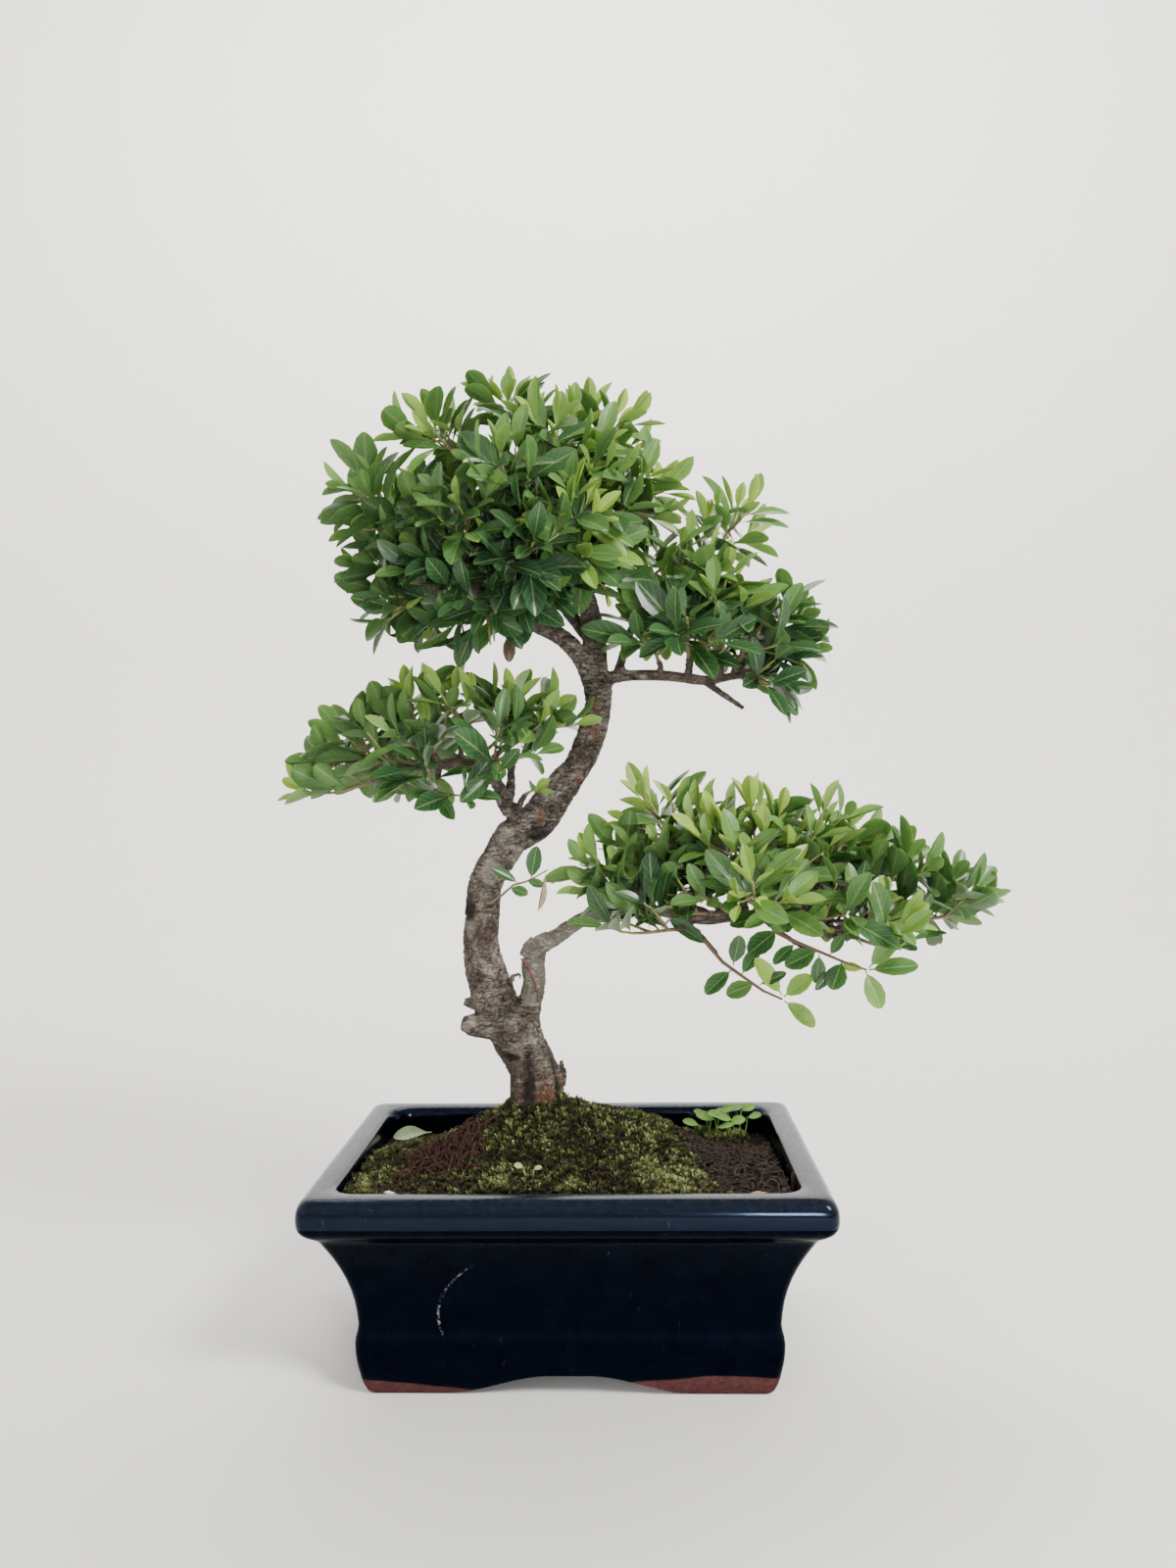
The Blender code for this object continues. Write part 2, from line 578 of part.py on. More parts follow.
def nearest_carrier(pad_name, heel):
    """Return the point of a pad's branches that lies nearest to where a twig should leave them."""
    best = None
    for name in PADS[pad_name]["parents"]:
        route = [Vector(point[:3]) for point in ROUTES[name]]
        for first, second in zip(route[1:], route[2:]):
            for step in range(5):
                place = first.lerp(second, step / 4)
                if pad_name == "low" and place.x < LOWEST_CARRIER_X:
                    continue
                if best is None or (place - heel).length < (best - heel).length:
                    best = place
    return best


def shoot_anchors(pad_name, index):
    """Return the four-point curve of a spray, from inside the branch that carries it to its last leaf."""
    pad = PADS[pad_name]
    tip = Vector(pad["tips"][index])
    focus = Vector(pad["focus"])
    outward = (tip - focus).normalized()
    lift = pad["lift"] if outward.z > LIFTED_ABOVE else DROOP
    heading = (outward + UP * lift).normalized()
    heel = tip.lerp(focus, HEEL_SHARE)
    root = nearest_carrier(pad_name, heel)
    end = tip - heading * LEAF_REACH
    length = (end - root).length
    leave = ((heel - root).normalized() + (end - root).normalized()).normalized()
    return root, root + leave * 0.3 * length, end - heading * 0.35 * length, end


def part_of_curve(anchors, start):
    """Return the four-point curve that follows another one from a share of it to its end."""
    a, b, c, d = anchors
    ab, bc, cd = a.lerp(b, start), b.lerp(c, start), c.lerp(d, start)
    abc, bcd = ab.lerp(bc, start), bc.lerp(cd, start)
    return abc.lerp(bcd, start), bcd, cd, d


def curve_length(anchors):
    """Return the length of a four-point curve."""
    places = [bezier(anchors, step / 8)[0] for step in range(9)]
    return sum((second - first).length for first, second in zip(places, places[1:]))


class Twig:
    """One spray's twig: a woody stretch, which belongs to the skeleton, and the leafy shoot beyond it."""

    def __init__(self, name, anchors, leafy_length=SHOOT_LENGTH, form="leaf"):
        self.name = name
        self.anchors = anchors
        self.cap_share = max(0.3, 1.0 - leafy_length / curve_length(anchors))
        place, heading = bezier(anchors, self.cap_share)
        _, b, c, d = part_of_curve(anchors, self.cap_share)
        anchors = (place + heading * GAP, b + heading * GAP, c, d)
        self.shoot = Shoot(anchors, STEM_RADII, MAIN_LEVELS, name, form)

    def woody_shape(self):
        """Return the woody stretch, from inside its branch to its flat end."""
        route = []
        for share, radius in zip((0.0, 0.55, 1.0), WOODY_RADII):
            route.append((*bezier(self.anchors, self.cap_share * share)[0], radius))
        return tube(route, WOODY_TWIG_SIDES, end_heading=bezier(self.anchors, self.cap_share)[1])


class Shoot:
    """A leafy stem: a curve, its radii, and how far from its tip its leaves leave it."""

    def __init__(self, anchors, radii, levels, label, form="leaf"):
        self.anchors = anchors
        self.radii = radii
        self.label = label
        self.form = form
        self.length = curve_length(anchors)
        self.levels = [level for level in levels if level < 0.93 * self.length]
        a, b, c, d = anchors
        bend = (b - a).cross(d - c)
        self.guide = bend.normalized() if bend.length > 1e-3 else unit_across((d - a).normalized())
        self.taken = {}

    def at(self, from_tip):
        """Return the place, heading and the two directions across the stem, at a distance from its tip."""
        place, heading = bezier(self.anchors, 1.0 - from_tip / self.length)
        across = (self.guide - heading * self.guide.dot(heading)).normalized()
        return place, heading, across, heading.cross(across)

    def radius(self, from_tip):
        """Return the stem's radius at a distance from its tip."""
        return self.radii[1] + (self.radii[0] - self.radii[1]) * from_tip / self.length

    def corners(self, from_tip):
        """Return the stem's four corners at a distance from its tip."""
        place, _, across, third = self.at(from_tip)
        reach = self.radius(from_tip)
        turns = [math.radians(45 + 90 * corner) for corner in range(4)]
        return [place + (across * math.cos(turn) + third * math.sin(turn)) * reach for turn in turns]

    def outward(self, from_tip, azimuth):
        """Return the direction square to the stem at an azimuth."""
        _, _, across, third = self.at(from_tip)
        return across * math.cos(azimuth) + third * math.sin(azimuth)

    def free_side(self, level, direction):
        """Return the stem's side at a level that best faces a direction and that nothing leaves yet."""
        sides = [side for side in range(4) if (level, side) not in self.taken]
        faces = {side: self.outward(level, math.radians(90 * (side + 1))).dot(direction) for side in sides}
        best = max(sides, key=faces.get, default=None)
        return best if best is not None and faces[best] > 0.3 else None

    def side_shoot(self, number):
        """Return a side shoot, which curves out of this stem towards the light."""
        draw = random.Random(f"{self.label}-side-{number}")
        level = self.levels[min(SIDE_LEVELS[number], len(self.levels) - 1)]
        place, heading, _, _ = self.at(level)
        outward = self.outward(level, GOLDEN_ANGLE * (number + 1) + draw.uniform(-0.4, 0.4))
        leave = heading * math.cos(SIDE_ANGLE) + outward * math.sin(SIDE_ANGLE)
        length = SIDE_LENGTHS[number] * draw.uniform(0.9, 1.1)
        middle = place + leave * 0.55 * length
        end = middle + (leave + heading * 0.35 + UP * 0.25).normalized() * 0.45 * length
        anchors = (place, place.lerp(middle, 0.66), end.lerp(middle, 0.66), end)
        return level, Shoot(anchors, SIDE_RADII, SIDE_SHOOT_LEVELS, f"{self.label}-{number}", self.form)

    def leaf(self, site, from_tip):
        """Return the base, direction, normal, length and width of one leaf, by its number from the tip."""
        draw = random.Random(f"{self.label}-leaf-{site}")
        base, heading, _, _ = self.at(from_tip)
        grown = min(1.0, site / SITES_TO_FULL_SIZE)
        spread = LEAF_SPREAD[0] + (LEAF_SPREAD[1] - LEAF_SPREAD[0]) * grown + draw.uniform(-8, 8)
        spread = math.radians(spread)
        outward = self.outward(from_tip, GOLDEN_ANGLE * site + draw.uniform(-0.25, 0.25))
        direction = (heading * math.cos(spread) + outward * math.sin(spread)).normalized()
        normal = heading * math.sin(spread) - outward * math.cos(spread) + UP * SKY_PULL
        normal = (normal - direction * normal.dot(direction)).normalized()
        size, width_share = LEAF_FORM[self.form]
        length = LEAF_LENGTH[0] + (LEAF_LENGTH[1] - LEAF_LENGTH[0]) * grown
        length *= draw.uniform(0.88, 1.12) * size
        return base, direction, normal, length, length * width_share


def leaf_ring(leaf, share, width, margin=0.0):
    """Return the four corners of a leaf's section at a share of its length, left to right, then back."""
    base, direction, normal, length, full_width = leaf
    side = normal.cross(direction)
    centre = base + direction * ((length + margin) * share) - normal * (LEAF_DROOP * length * share ** 2)
    half_width = side * (0.5 * full_width * width + margin)
    half_thickness = normal * (0.5 * LEAF_THICKNESS + margin)
    return [centre - half_width - half_thickness, centre + half_width - half_thickness,
            centre + half_width + half_thickness, centre - half_width + half_thickness]


def leaf_shape(leaf, margin=0.0, start=0.0):
    """Return a leaf alone as a closed solid, for keeping others clear of it."""
    rings = [leaf_ring(leaf, start, LEAF_OUTLINE[0][1] * start / LEAF_OUTLINE[0][0], margin)]
    rings += [leaf_ring(leaf, share, width, margin) for share, width in LEAF_OUTLINE]
    return loft(rings)


class Spray:
    """A leafy spray as one closed mesh: each side shoot and leaf is drawn out of a side of its stem."""

    def __init__(self, name):
        self.name = name
        self.points = []
        self.faces = []

    def add_ring(self, corners):
        """Add four points and return their numbers."""
        start = len(self.points)
        self.points += corners
        return list(range(start, start + 4))

    def match(self, side, corners):
        """Turn a side's corners so that they lie nearest to the ring drawn out of it."""
        turned = [side[shift:] + side[:shift] for shift in range(4)]
        return min(turned, key=lambda ring: sum((self.points[index] - corner).length
                                                for index, corner in zip(ring, corners)))

    def draw_leaf(self, side, leaf):
        """Draw a leaf out of one side of a stem."""
        ring = self.match(side, leaf_ring(leaf, *LEAF_OUTLINE[0]))
        for share, width in LEAF_OUTLINE:
            outer = self.add_ring(leaf_ring(leaf, share, width))
            for corner in range(4):
                a, b = ring[corner], ring[(corner + 1) % 4]
                d, c = outer[corner], outer[(corner + 1) % 4]
                if corner == 2:
                    self.faces += [(a, b, d), (b, c, d)]
                else:
                    self.faces += [(a, b, c), (a, c, d)]
            ring = outer
        self.faces.append(tuple(ring))

    def draw_stem(self, shoot, side=None):
        """Draw a stem, free at its start or out of one side of another, and all that leaves it."""
        if side is None:
            ring = self.add_ring(shoot.corners(shoot.length))
            self.faces.append(tuple(reversed(ring)))
            bare = shoot.length - shoot.levels[-1]
            if bare > LONG_BARE_STEM:
                outer = self.add_ring(shoot.corners(shoot.length - 0.55 * bare))
                self.faces += [(ring[face], ring[(face + 1) % 4], outer[(face + 1) % 4], outer[face])
                               for face in range(4)]
                ring = outer
        else:
            first = shoot.levels[-1] + LEVEL_HALF
            ring = self.match(side, shoot.corners(first))
        for level in reversed(shoot.levels):
            leaving = {face: item for (at, face), item in shoot.taken.items() if at == level}
            if not leaving and level != shoot.levels[0]:
                continue
            for from_tip in (level + LEVEL_HALF, max(level - LEVEL_HALF, 0.0)):
                outer = self.add_ring(shoot.corners(from_tip))
                for face in range(4):
                    after = (face + 1) % 4
                    quad = [ring[face], ring[after], outer[after], outer[face]]
                    item = leaving.get(face) if from_tip < level else None
                    if item is None:
                        self.faces.append(tuple(quad))
                    elif isinstance(item, Shoot):
                        self.draw_stem(item, quad)
                    else:
                        self.draw_leaf(quad, item)
                ring = outer
        self.faces.append(tuple(ring))


class Space:
    """The surfaces placed so far, for keeping what comes next clear of them."""

    def __init__(self):
        self.items = []

    @staticmethod
    def ball(shape):
        """Return a ball round a shape."""
        points = [Vector(point) for point in shape[0]]
        centre = sum(points, Vector()) / len(points)
        return centre, max((point - centre).length for point in points)

    def add(self, owner, shape):
        """Keep a shape with its bounding ball."""
        self.items.append((owner, *self.ball(shape), BVHTree.FromPolygons(*shape)))

    def is_free(self, shape, owner, own_only=False):
        """Tell whether a shape meets none of the others' surfaces, or none of its owner's."""
        centre, radius = self.ball(shape)
        tree = BVHTree.FromPolygons(*shape)
        for other, place, reach, surface in self.items:
            if (other == owner) != own_only:
                continue
            if (place - centre).length < radius + reach and tree.overlap(surface):
                return False
        return True


def stem_shape(shoot, margin=0.0):
    """Return a stem alone as a closed tube, for keeping others clear of it."""
    route = []
    for step in range(5):
        from_tip = shoot.length * (1 - step / 4)
        route.append((*shoot.at(from_tip)[0], shoot.radius(from_tip) + margin))
    return tube(route, STEM_SIDES)


def grow_leaves(space, name, shoots, wanted):
    """Give a spray the leaves that stand clear of everything else, level by level from the tips."""
    kept = 0
    for rank in range(max(len(shoot.levels) for shoot in shoots)):
        for shoot in shoots:
            if rank >= len(shoot.levels):
                continue
            level = shoot.levels[rank]
            for turn in range(LEAVES_PER_LEVEL):
                leaf = shoot.leaf(LEAVES_PER_LEVEL * rank + turn, level)
                side = shoot.free_side(level, leaf[1])
                if side is None or kept >= wanted:
                    continue
                if not space.is_free(leaf_shape(leaf, CLEARANCE), name):
                    continue
                if not space.is_free(leaf_shape(leaf, CLEARANCE, BASE_LEFT_OUT), name, own_only=True):
                    continue
                shoot.taken[level, side] = leaf
                space.add(name, leaf_shape(leaf))
                kept += 1


def build_spray(space, twig, leaves, sides):
    """Build one leafy spray: its shoot, side shoots and leaves in one solid."""
    shoots = [twig.shoot]
    for number in range(len(SIDE_LEVELS)):
        if len(shoots) > sides:
            break
        level, shoot = twig.shoot.side_shoot(number)
        side = twig.shoot.free_side(level, (shoot.anchors[1] - shoot.anchors[0]).normalized())
        if side is not None and space.is_free(stem_shape(shoot, CLEARANCE), twig.name):
            twig.shoot.taken[level, side] = shoot
            shoots.append(shoot)
            space.add(twig.name, stem_shape(shoot))
    grow_leaves(space, twig.name, shoots, leaves)
    spray = Spray(twig.name)
    spray.draw_stem(twig.shoot)
    return add_solid(twig.name, (spray.points, spray.faces), "leaf")


def build_plant(space):
    """Build the woody skeleton and every spray, and return them."""
    twigs = [Twig(f"{pad_name}_{index + 1:02d}", shoot_anchors(pad_name, index))
             for pad_name, pad in PADS.items() for index in range(len(pad["tips"]))]
    small_twigs = [Twig(name, tuple(Vector(anchor) for anchor in anchors), length, "small")
                   for name, (anchors, length) in SMALL_SHOOTS.items()]
    tools = []
    for name, route in ROUTES.items():
        relief = BARK_RELIEF if name in TUBE_SIDES else 0.0
        shape = tube(route, TUBE_SIDES.get(name, BRANCH_SIDES), relief)
        space.add("trunk", shape)
        if name == "trunk":
            trunk = add_solid("trunk", shape, "bark")
        else:
            tools.append(add_solid(name, shape, "bark"))
    for twig in twigs + small_twigs:
        shape = twig.woody_shape()
        space.add("trunk", shape)
        tools.append(add_solid(twig.name + "_wood", shape, "bark"))
    apply_boolean(trunk, "UNION", tools, solver="MANIFOLD")
    for twig in twigs + small_twigs:
        space.add(twig.name, stem_shape(twig.shoot))
    bark = BVHTree.FromPolygons(*surfaces(trunk))
    small_pieces = [build_dried_leaf(space, small_twigs[0]), build_caught_twig(space, bark)]
    sprays = [build_spray(space, twig, LEAVES_KEPT, SIDES_KEPT) for twig in twigs]
    sprays += [build_spray(space, twig, SMALL_LEAVES, 0) for twig in small_twigs]
    return [trunk] + sprays + small_pieces


def place_at_origin(solids):
    """Parent the pieces to one empty, which centres the plant over the origin."""
    corners = [vertex.co for solid in solids for vertex in solid.data.vertices]
    middle_x = (min(point.x for point in corners) + max(point.x for point in corners)) / 2
    middle_y = (min(point.y for point in corners) + max(point.y for point in corners)) / 2
    holder = bpy.data.objects.new("holly_bonsai", None)
    bpy.context.scene.collection.objects.link(holder)
    for solid in solids:
        solid.parent = holder
    holder.location = (-middle_x, -middle_y, 0.0)


def strip(route, heading_across):
    """Return a closed flat strip along a route of (x, y, z, half width, half thickness)."""
    rings = []
    middle = [Vector(point[:3]) for point in route]
    for index, centre in enumerate(middle):
        before = middle[max(index - 1, 0)]
        after = middle[min(index + 1, len(middle) - 1)]
        along = (after - before).normalized()
        across = (heading_across - along * heading_across.dot(along)).normalized()
        face = along.cross(across)
        half_width, half_thickness = route[index][3:]
        rings.append([centre + across * half_width + face * half_thickness,
                      centre - across * half_width + face * half_thickness,
                      centre - across * half_width - face * half_thickness,
                      centre + across * half_width - face * half_thickness])
    return loft(rings)


def build_dried_leaf(space, carrier):
    """Build the dead leaf that hangs by its stalk from the end of the trunk's shoot."""
    end, heading, _, _ = carrier.shoot.at(0.0)
    start = end + heading * GAP
    bend = start + heading * 3.0
    route = [(*start, 0.5, 0.45), (*bend, 0.5, 0.45)]
    for drop, half_width in DRIED_LEAF_STATIONS:
        route.append((bend.x - 0.2 * drop + 0.6, bend.y - 0.1 * drop, bend.z - drop, half_width, 0.45))
    shape = strip(route, Vector((0.85, -0.5, 0.0)).normalized())
    space.add("dried_leaf", shape)
    return add_solid("dried_leaf", shape, "dead_leaf")


def build_caught_twig(space, trunk_tree):
    """Build the dry bit of twig that lies against the front of the low branch."""
    nearest = 0.0
    for (x, z, radius), (end_x, end_z, _) in zip(CAUGHT_TWIG, CAUGHT_TWIG[1:]):
        for step in range(9):
            for aside in (-radius, 0.0, radius):
                start = Vector((x + (end_x - x) * step / 8 + aside, -200.0, z + (end_z - z) * step / 8))
                hit = trunk_tree.ray_cast(start, Vector((0.0, 1.0, 0.0)))[0]
                if hit is not None:
                    nearest = min(nearest, hit.y - radius)
    shape = tube([(x, nearest - 2 * GAP, z, radius) for x, z, radius in CAUGHT_TWIG], STEM_SIDES)
    space.add("caught_twig", shape)
    return add_solid("caught_twig", shape, "dead_leaf")


def build_pebble(name, place, size, finish, tree):
    """Build a small rounded stone that lies on the ground."""
    radius_x, radius_y, radius_z = size
    centre_z = max(height_on(tree, place[0] + dx, place[1] + dy) for dx in (-radius_x, 0, radius_x)
                   for dy in (-radius_y, 0, radius_y)) + GAP + radius_z
    rings = []
    for tilt in (-70, -30, 12, 55):
        turn = math.radians(tilt)
        ring = circle((0.0, 0.0, 0.0), math.cos(turn), 7)
        rings.append([(place[0] + radius_x * x * (1 + 0.12 * math.sin(tilt + 3 * y)), place[1] + radius_y * y,
                       centre_z + radius_z * math.sin(turn)) for x, y, _ in ring])
    return add_solid(name, loft(rings), finish)


def build_fallen_leaf(tree):
    """Build the pale leaf that lies at the back left, leaning on the moss."""
    route = []
    for x, half_width in FALLEN_LEAF_STATIONS:
        reach = half_width * math.cos(FALLEN_LEAF_LEAN)
        ground = max(height_on(tree, x + dx, FALLEN_LEAF_Y + dy)
                     for dx in (-2.0, 0.0, 2.0) for dy in (-reach - 0.5, 0.0, reach + 0.5))
        route.append((x, FALLEN_LEAF_Y, ground + half_width * math.sin(FALLEN_LEAF_LEAN) + 3 * GAP,
                      half_width, 0.5 * LEAF_THICKNESS))
    across = Vector((0.0, math.cos(FALLEN_LEAF_LEAN), math.sin(FALLEN_LEAF_LEAN)))
    return add_solid("fallen_leaf", strip(route, across), "young_leaf")


def build_ground_spray(name, shoot, leaves, ground):
    """Build a tiny plant whose stem stands in the ground and whose leaves stay above it."""
    space = Space()
    space.add("ground", ground)
    space.add(name, stem_shape(shoot))
    grow_leaves(space, name, [shoot], leaves)
    spray = Spray(name)
    spray.draw_stem(shoot)
    return add_solid(name, (spray.points, spray.faces), "young_leaf")


def bore_for_stem(solid, foot):
    """Cut the plain hole that a small stem stands in."""
    rings = [circle((foot.x, foot.y, foot.z + height), STEM_HOLE_RADIUS, 6)
             for height in (-GAP, 3 * STEM_FOOT_DEPTH)]
    apply_boolean(solid, "DIFFERENCE", [add_solid("stem_hole", loft(rings), "soil", smooth=False)])


def main():
    """Build the whole plant."""
    clear_scene()
    pot = build_pot()
    soil = build_soil()
    moss = build_mound_moss()
    soil_tree = BVHTree.FromPolygons(*surfaces(soil))
    patches = [build_moss_patch("moss_left", (-81.5, -30.0), (7.5, 24.0), soil_tree),
               build_moss_patch("moss_back", (63.0, 40.0), (18.0, 15.0), soil_tree)]
    ground = surfaces(soil, moss, *patches)
    ground_tree = BVHTree.FromPolygons(*ground)
    ground_pieces = [build_pebble(name, *pebble, ground_tree) for name, pebble in PEBBLES.items()]
    ground_pieces.append(build_fallen_leaf(ground_tree))
    for name, (place, rise, levels, leaves) in GROUND_SHOOTS.items():
        foot = Vector((*place, height_on(ground_tree, *place) - STEM_FOOT_DEPTH))
        shoot = Shoot([foot + Vector(step) for step in rise], SIDE_RADII, levels, name, name)
        ground_pieces.append(build_ground_spray(name, shoot, leaves, ground))
        for solid in (soil, moss if name == "sprout" else patches[1]):
            bore_for_stem(solid, foot)

    place_at_origin([pot, soil, moss] + patches + ground_pieces + build_screens() + build_plant(Space()))


main()
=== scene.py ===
"""Look of a small-leaved holly bonsai in its glazed pot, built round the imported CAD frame.

Lengths are millimetres in the pot's own frame until a piece is finished: X runs to the right, Y away from
the front and Z up, from the middle of the pot's mouth on the surface that the pot stands on. Placing turns
them into the frame's metres. Leafy shoots repeat the rule and the seeds of the CAD sprays, so that each
dressed spray keeps the form of the node that it replaces.
"""

from __future__ import annotations

import logging
import math
import random
from collections.abc import Callable, Iterable, Sequence
from dataclasses import dataclass, field
from enum import Enum

import bmesh
import bpy
import numpy as np
from mathutils import Matrix, Vector, noise
from mathutils.bvhtree import BVHTree


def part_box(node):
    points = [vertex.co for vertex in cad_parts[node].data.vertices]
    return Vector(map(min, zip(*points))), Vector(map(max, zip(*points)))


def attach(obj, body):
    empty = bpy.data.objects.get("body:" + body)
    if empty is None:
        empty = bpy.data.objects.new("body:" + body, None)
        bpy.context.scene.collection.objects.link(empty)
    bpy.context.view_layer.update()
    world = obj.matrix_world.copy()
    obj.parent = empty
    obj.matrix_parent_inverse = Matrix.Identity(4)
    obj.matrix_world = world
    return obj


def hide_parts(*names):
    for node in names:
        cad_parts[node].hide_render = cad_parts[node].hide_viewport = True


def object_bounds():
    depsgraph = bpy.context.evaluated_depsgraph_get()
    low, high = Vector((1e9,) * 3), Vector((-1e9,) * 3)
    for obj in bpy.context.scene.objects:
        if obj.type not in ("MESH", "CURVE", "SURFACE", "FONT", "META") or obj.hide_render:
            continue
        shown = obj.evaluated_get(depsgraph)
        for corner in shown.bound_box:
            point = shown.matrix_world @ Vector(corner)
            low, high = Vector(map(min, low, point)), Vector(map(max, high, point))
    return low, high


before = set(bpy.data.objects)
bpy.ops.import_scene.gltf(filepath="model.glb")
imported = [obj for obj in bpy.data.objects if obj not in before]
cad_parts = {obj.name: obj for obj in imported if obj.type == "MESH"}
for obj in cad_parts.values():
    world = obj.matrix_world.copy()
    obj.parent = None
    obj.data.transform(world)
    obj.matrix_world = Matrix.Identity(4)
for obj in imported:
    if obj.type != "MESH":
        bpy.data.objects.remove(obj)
CAD_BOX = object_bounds()

LOG = logging.getLogger("holly_bonsai")
MM = 0.001
UP = Vector((0.0, 0.0, 1.0))
GOLDEN_ANGLE = math.radians(137.508)
Triple = tuple[float, float, float]
ORIGIN: Triple = (0.0, 0.0, 0.0)
UNTURNED = np.eye(3)
TRUNK_X, TRUNK_Y = -15.9, 4.0
LEAF_VALUES = ("age", "under", "dead")
STEM_SLOT = 1
Box = tuple[float, float, float, float]
Route = tuple[tuple[float, float, float, float], ...]


# Placing and modelling helpers


@dataclass(frozen=True)
class Placing:
    """Where the pot's own frame lies in the CAD frame."""

    shift_x: float
    shift_y: float

    @classmethod
    def from_frame(cls) -> Placing:
        """Read the place of the pot's middle from its CAD node."""
        low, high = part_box("pot")
        return cls((low.x + high.x) / 2, (low.y + high.y) / 2)

    def matrix(self) -> Matrix:
        """Return the change from the pot's millimetres to the frame's metres."""
        return Matrix.Translation((self.shift_x, self.shift_y, 0.0)) @ Matrix.Scale(MM, 4)

    def limits(self) -> tuple[Vector, Vector]:
        """Return the CAD box's corners in the pot's millimetres."""
        back = self.matrix().inverted()
        return back @ Vector(CAD_BOX[0]), back @ Vector(CAD_BOX[1])


PLACING = Placing.from_frame()


def settle(piece: bpy.types.Object, finishes: Sequence[Finish], nodes: Sequence[str] = ()) -> None:
    """Bring a finished piece into the frame, dress it and let it ride on the root body.

    Args:
        piece: the finished mesh, in the pot's millimetres.
        finishes: what it is made of, in the order that its faces number them.
        nodes: the CAD nodes that the piece stands for.
    """
    piece.data.transform(piece.matrix_world)
    piece.matrix_world = Matrix.Identity(4)
    piece.data.transform(PLACING.matrix())
    for finish in finishes:
        piece.data.materials.append(finish.material())
    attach(piece, "root")
    if nodes:
        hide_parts(*nodes)
    LOG.info("%s: %d faces", piece.name, len(piece.data.polygons))


def link(name: str, data: bpy.types.ID) -> bpy.types.Object:
    """Put an object of some data into the scene."""
    item = bpy.data.objects.new(name, data)
    bpy.context.scene.collection.objects.link(item)
    return item


def deselect() -> None:
    """Leave object mode clean, with nothing selected."""
    if bpy.context.object and bpy.context.object.mode != "OBJECT":
        bpy.ops.object.mode_set(mode="OBJECT")
    for item in bpy.context.selected_objects:
        item.select_set(False)


def modify(piece: bpy.types.Object, kind: str, **settings: object) -> None:
    """Add one modifier to a piece and apply it.

    Args:
        piece: the object to change.
        kind: the modifier's type.
        settings: the modifier's properties.
    """
    deselect()
    bpy.context.view_layer.objects.active = piece
    piece.select_set(True)
    modifier = piece.modifiers.new(kind.lower(), kind)
    for name, value in settings.items():
        setattr(modifier, name, value)
    bpy.ops.object.modifier_apply(modifier=modifier.name)


class Bench:
    """A primitive under work in edit mode: points are picked by their place, then moved, scaled or drawn out."""

    def __init__(self, name: str, primitive: str, **settings: object) -> None:
        """Add a primitive and take it up.

        Args:
            name: the piece's name.
            primitive: which one it is made from, such as grid.
            settings: the primitive's own.
        """
        deselect()
        getattr(bpy.ops.mesh, f"primitive_{primitive}_add")(**settings)
        self.piece = bpy.context.object
        self.piece.name = name
        self.piece.data.name = name
        bpy.ops.object.mode_set(mode="EDIT")
        bpy.ops.mesh.select_mode(type="VERT")

    def pick(self, wanted: Callable[[Vector], bool]) -> None:
        """Select the points that pass a test, and the edges and faces between them."""
        mesh = bmesh.from_edit_mesh(self.piece.data)
        for edge in mesh.edges:
            edge.select_set(False)
        for vertex in mesh.verts:
            vertex.select_set(wanted(vertex.co))
        mesh.select_flush(True)
        bmesh.update_edit_mesh(self.piece.data)

    def pick_all(self) -> None:
        """Select the whole piece."""
        bpy.ops.mesh.select_all(action="SELECT")

    def reshape(self, moved: Callable[[Vector], Vector]) -> None:
        """Put each selected point where a rule sends it."""
        mesh = bmesh.from_edit_mesh(self.piece.data)
        for vertex in mesh.verts:
            if vertex.select:
                vertex.co = moved(vertex.co)
        bmesh.update_edit_mesh(self.piece.data)

    def face_outward(self) -> None:
        """Turn all faces outward."""
        self.pick_all()
        bpy.ops.mesh.normals_make_consistent(inside=False)

    def move(self, x: float = 0.0, y: float = 0.0, z: float = 0.0) -> None:
        """Move what is selected."""
        bpy.ops.transform.translate(value=(x, y, z))

    def scale(self, x: float, y: float, z: float, centre: Triple = ORIGIN) -> None:
        """Scale what is selected about a point."""
        bpy.ops.transform.resize(value=(x, y, z), center_override=centre)

    def draw_out(self, x: float = 0.0, y: float = 0.0, z: float = 0.0) -> None:
        """Extrude the selected region."""
        bpy.ops.mesh.extrude_region_move(TRANSFORM_OT_translate={"value": (x, y, z)})

    def done(self) -> bpy.types.Object:
        """Leave edit mode and return the piece."""
        bpy.ops.object.mode_set(mode="OBJECT")
        self.piece.select_set(False)
        return self.piece


def soft_noise(point: Sequence[float], size: float, seed: float = 0.0) -> float:
    """Return smooth noise from about -1 to 1 with bumps of a size in millimetres."""
    return noise.noise(Vector(point) / size + Vector((seed, 2.7 * seed, -1.3 * seed)))


def drawn_in(x: float, y: float, half_x: float, half_y: float, corner: float) -> tuple[float, float]:
    """Return a place, drawn in to a rounded rectangle where it lies beyond one of its corners."""
    over_x = abs(x) - (half_x - corner)
    over_y = abs(y) - (half_y - corner)
    reach = math.hypot(over_x, over_y)
    if over_x > 0 and over_y > 0 and reach > corner:
        x = math.copysign(half_x - corner + over_x * corner / reach, x)
        y = math.copysign(half_y - corner + over_y * corner / reach, y)
    return x, y


def hill(off_x: float, off_y: float, reach_x: float, reach_y: float) -> float:
    """Return the height of a soft hill at a distance from its middle, where it is 1."""
    return math.exp(-((off_x / reach_x) ** 2) - (off_y / reach_y) ** 2)


